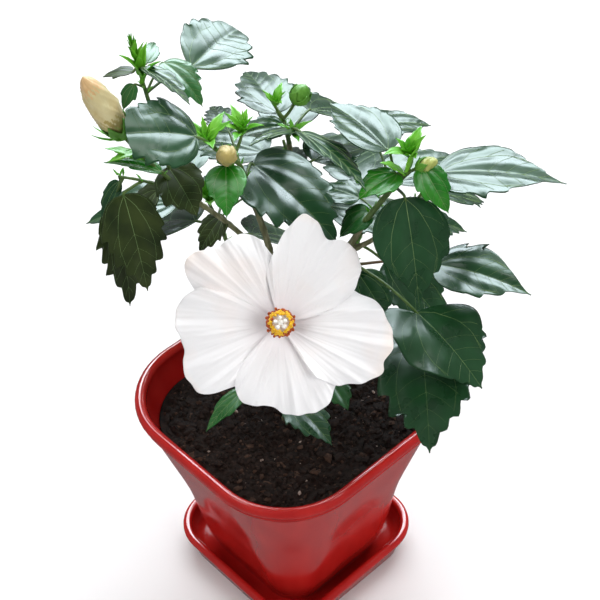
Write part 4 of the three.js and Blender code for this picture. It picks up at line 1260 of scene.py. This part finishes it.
def soil_crumbs(materials, half, corner):
    """Crumbs strewn over a square; those that would lie off the soil are left out."""
    crumbs = Shapes()
    random = seeded(91)
    looks = ["soil", "soil_brown", "speck"]
    made, most, wide, edge = 0, 5200, 206, 3
    while made < most:
        x, y = (random() - 0.5) * wide, (random() - 0.5) * wide
        u, v = abs(x + y) / math.sqrt(2), abs(x - y) / math.sqrt(2)
        inset = half - corner
        beyond = math.hypot(max(u - inset, 0), max(v - inset, 0))
        pick, size = random(), random()
        if beyond > corner - edge or max(u, v) > half - edge:
            continue
        look = 2 if pick > 0.985 else 1 if pick > 0.80 else 0
        size = (0.6 + 2.4 * size**3) * (1, 0.8, 0.5)[look]
        squash = (0.6 + 1.0 * random(), 0.6 + 0.6 * random(), 0.45 + 0.5 * random())
        centre = np.array([x, y, SOIL_TOP + soil_relief(x, y) + 0.5 * random()])
        lump(crumbs, centre, size, look, random, squash, shape=LUMP, uneven=0.9)
        made += 1
    crumbs.piece("soil_crumbs", [materials[k] for k in looks], "potting_soil")


# Lights: name, place, height that they aim at, size, power, colour, and whether glossy things mirror
# them. Those that are mirrored light nothing else.
LIGHTS = [
    ("window_mirrored", (0.1, 1.7, 1.7), 0.3, (2.6, 1.15), 160, (0.80, 0.93, 1.0), True),
    ("strip_mirrored", (0.0, 0.35, 2.2), 0.15, (1.8, 0.28), 12, (0.97, 0.99, 1.0), True),
    ("window_behind", (0.15, 1.4, 2.1), 0.3, (2.6, 1.2), 80, (0.97, 0.99, 1.0), False),
    ("soft_left", (-1.1, -0.9, 2.0), 0.25, (1.6, 1.2), 20, (1.0, 0.995, 0.99), False),
    ("soft_right", (1.3, -1.1, 1.3), 0.25, (1.2, 1.0), 18, (1.0, 0.995, 0.99), False),
]


def stage():
    """A pale floor, soft lights and a dim sky."""
    bpy.ops.mesh.primitive_plane_add(size=8, location=(0, 0, -0.0005))
    floor = bpy.context.object
    floor.name = "floor"
    pale = spotted("floor_pale", (0.78, 0.78, 0.79), (0.80, 0.80, 0.80), scale=3, rough=(0.8, 0.9),
                   bump_scale=40, bump=0.02, specular=0.1)
    floor.data.materials.append(pale)
    floor.visible_glossy = False
    for light in LIGHTS:
        area_light(*light)
    world = bpy.data.worlds.new("studio")
    bpy.context.scene.world = world
    world.use_nodes = True
    sky = world.node_tree.nodes["Background"].inputs
    sky["Color"].default_value = (0.97, 0.985, 1.0, 1)
    sky["Strength"].default_value = 0.23


def area_light(name, place, aim, size, power, colour, mirrored):
    """A soft light that aims at the middle of the shrub, aim metres above the floor."""
    light = bpy.data.lights.new(name, "AREA")
    light.shape = "RECTANGLE"
    light.size, light.size_y = size
    light.energy = power
    light.color = colour
    lamp = bpy.data.objects.new(name, light)
    lamp.location = place
    lamp.rotation_euler = (Vector((0, 0, aim)) - Vector(place)).to_track_quat("-Z", "Y").to_euler()
    lamp.visible_diffuse, lamp.visible_glossy = not mirrored, mirrored
    bpy.context.scene.collection.objects.link(lamp)


def camera():
    """The photograph's view: from in front and above, turned a little on its own axis."""
    data = bpy.data.cameras.new("camera")
    data.lens, data.sensor_width = 84, 36
    view = bpy.data.objects.new("camera", data)
    eye = Vector((0.0439, -0.5938, 0.8101))
    target = Vector((0.0096, 0.0006, 0.2332))
    roll = math.radians(-2.48)
    aim = (target - eye).to_track_quat("-Z", "Y").to_matrix().to_4x4()
    view.matrix_world = Matrix.Translation(eye) @ aim @ Matrix.Rotation(roll, 4, "Z")
    bpy.context.scene.collection.objects.link(view)
    bpy.context.scene.camera = view


def build():
    """Makes the pieces in order, then the stage."""
    camera()
    materials = make_materials()
    pot(materials)
    saucer(materials)
    soil(materials)
    for name, numbers in WOOD.items():
        woody_limb(name, numbers, materials)
    plant = Plant()
    for stem in FOLIAGE.values():
        plant.mass(stem)
    flower_back(plant)
    open_flower(materials)
    looks = [materials[k] for k in LEAF_LOOKS]
    for side, blades in plant.blades.items():
        nodes = [name for name, stem in FOLIAGE.items() if stem["side"] == side]
        blades.piece("leaf_blades_" + side, looks, "leaf", nodes)
    plant.young.piece("young_leaves", looks, "leaf")
    plant.veins.piece("leaf_veins", [materials["vein"]], "leaf")
    plant.stalks.piece("twigs_and_stalks", [materials["stem"], materials["red_stem"]], "leaf")
    plant.buds.piece("buds", [materials[k] for k in BUD_LOOKS], "leaf")
    stage()
    view = bpy.context.scene.view_settings
    view.view_transform = "Standard"
    view.look = "None"


build()
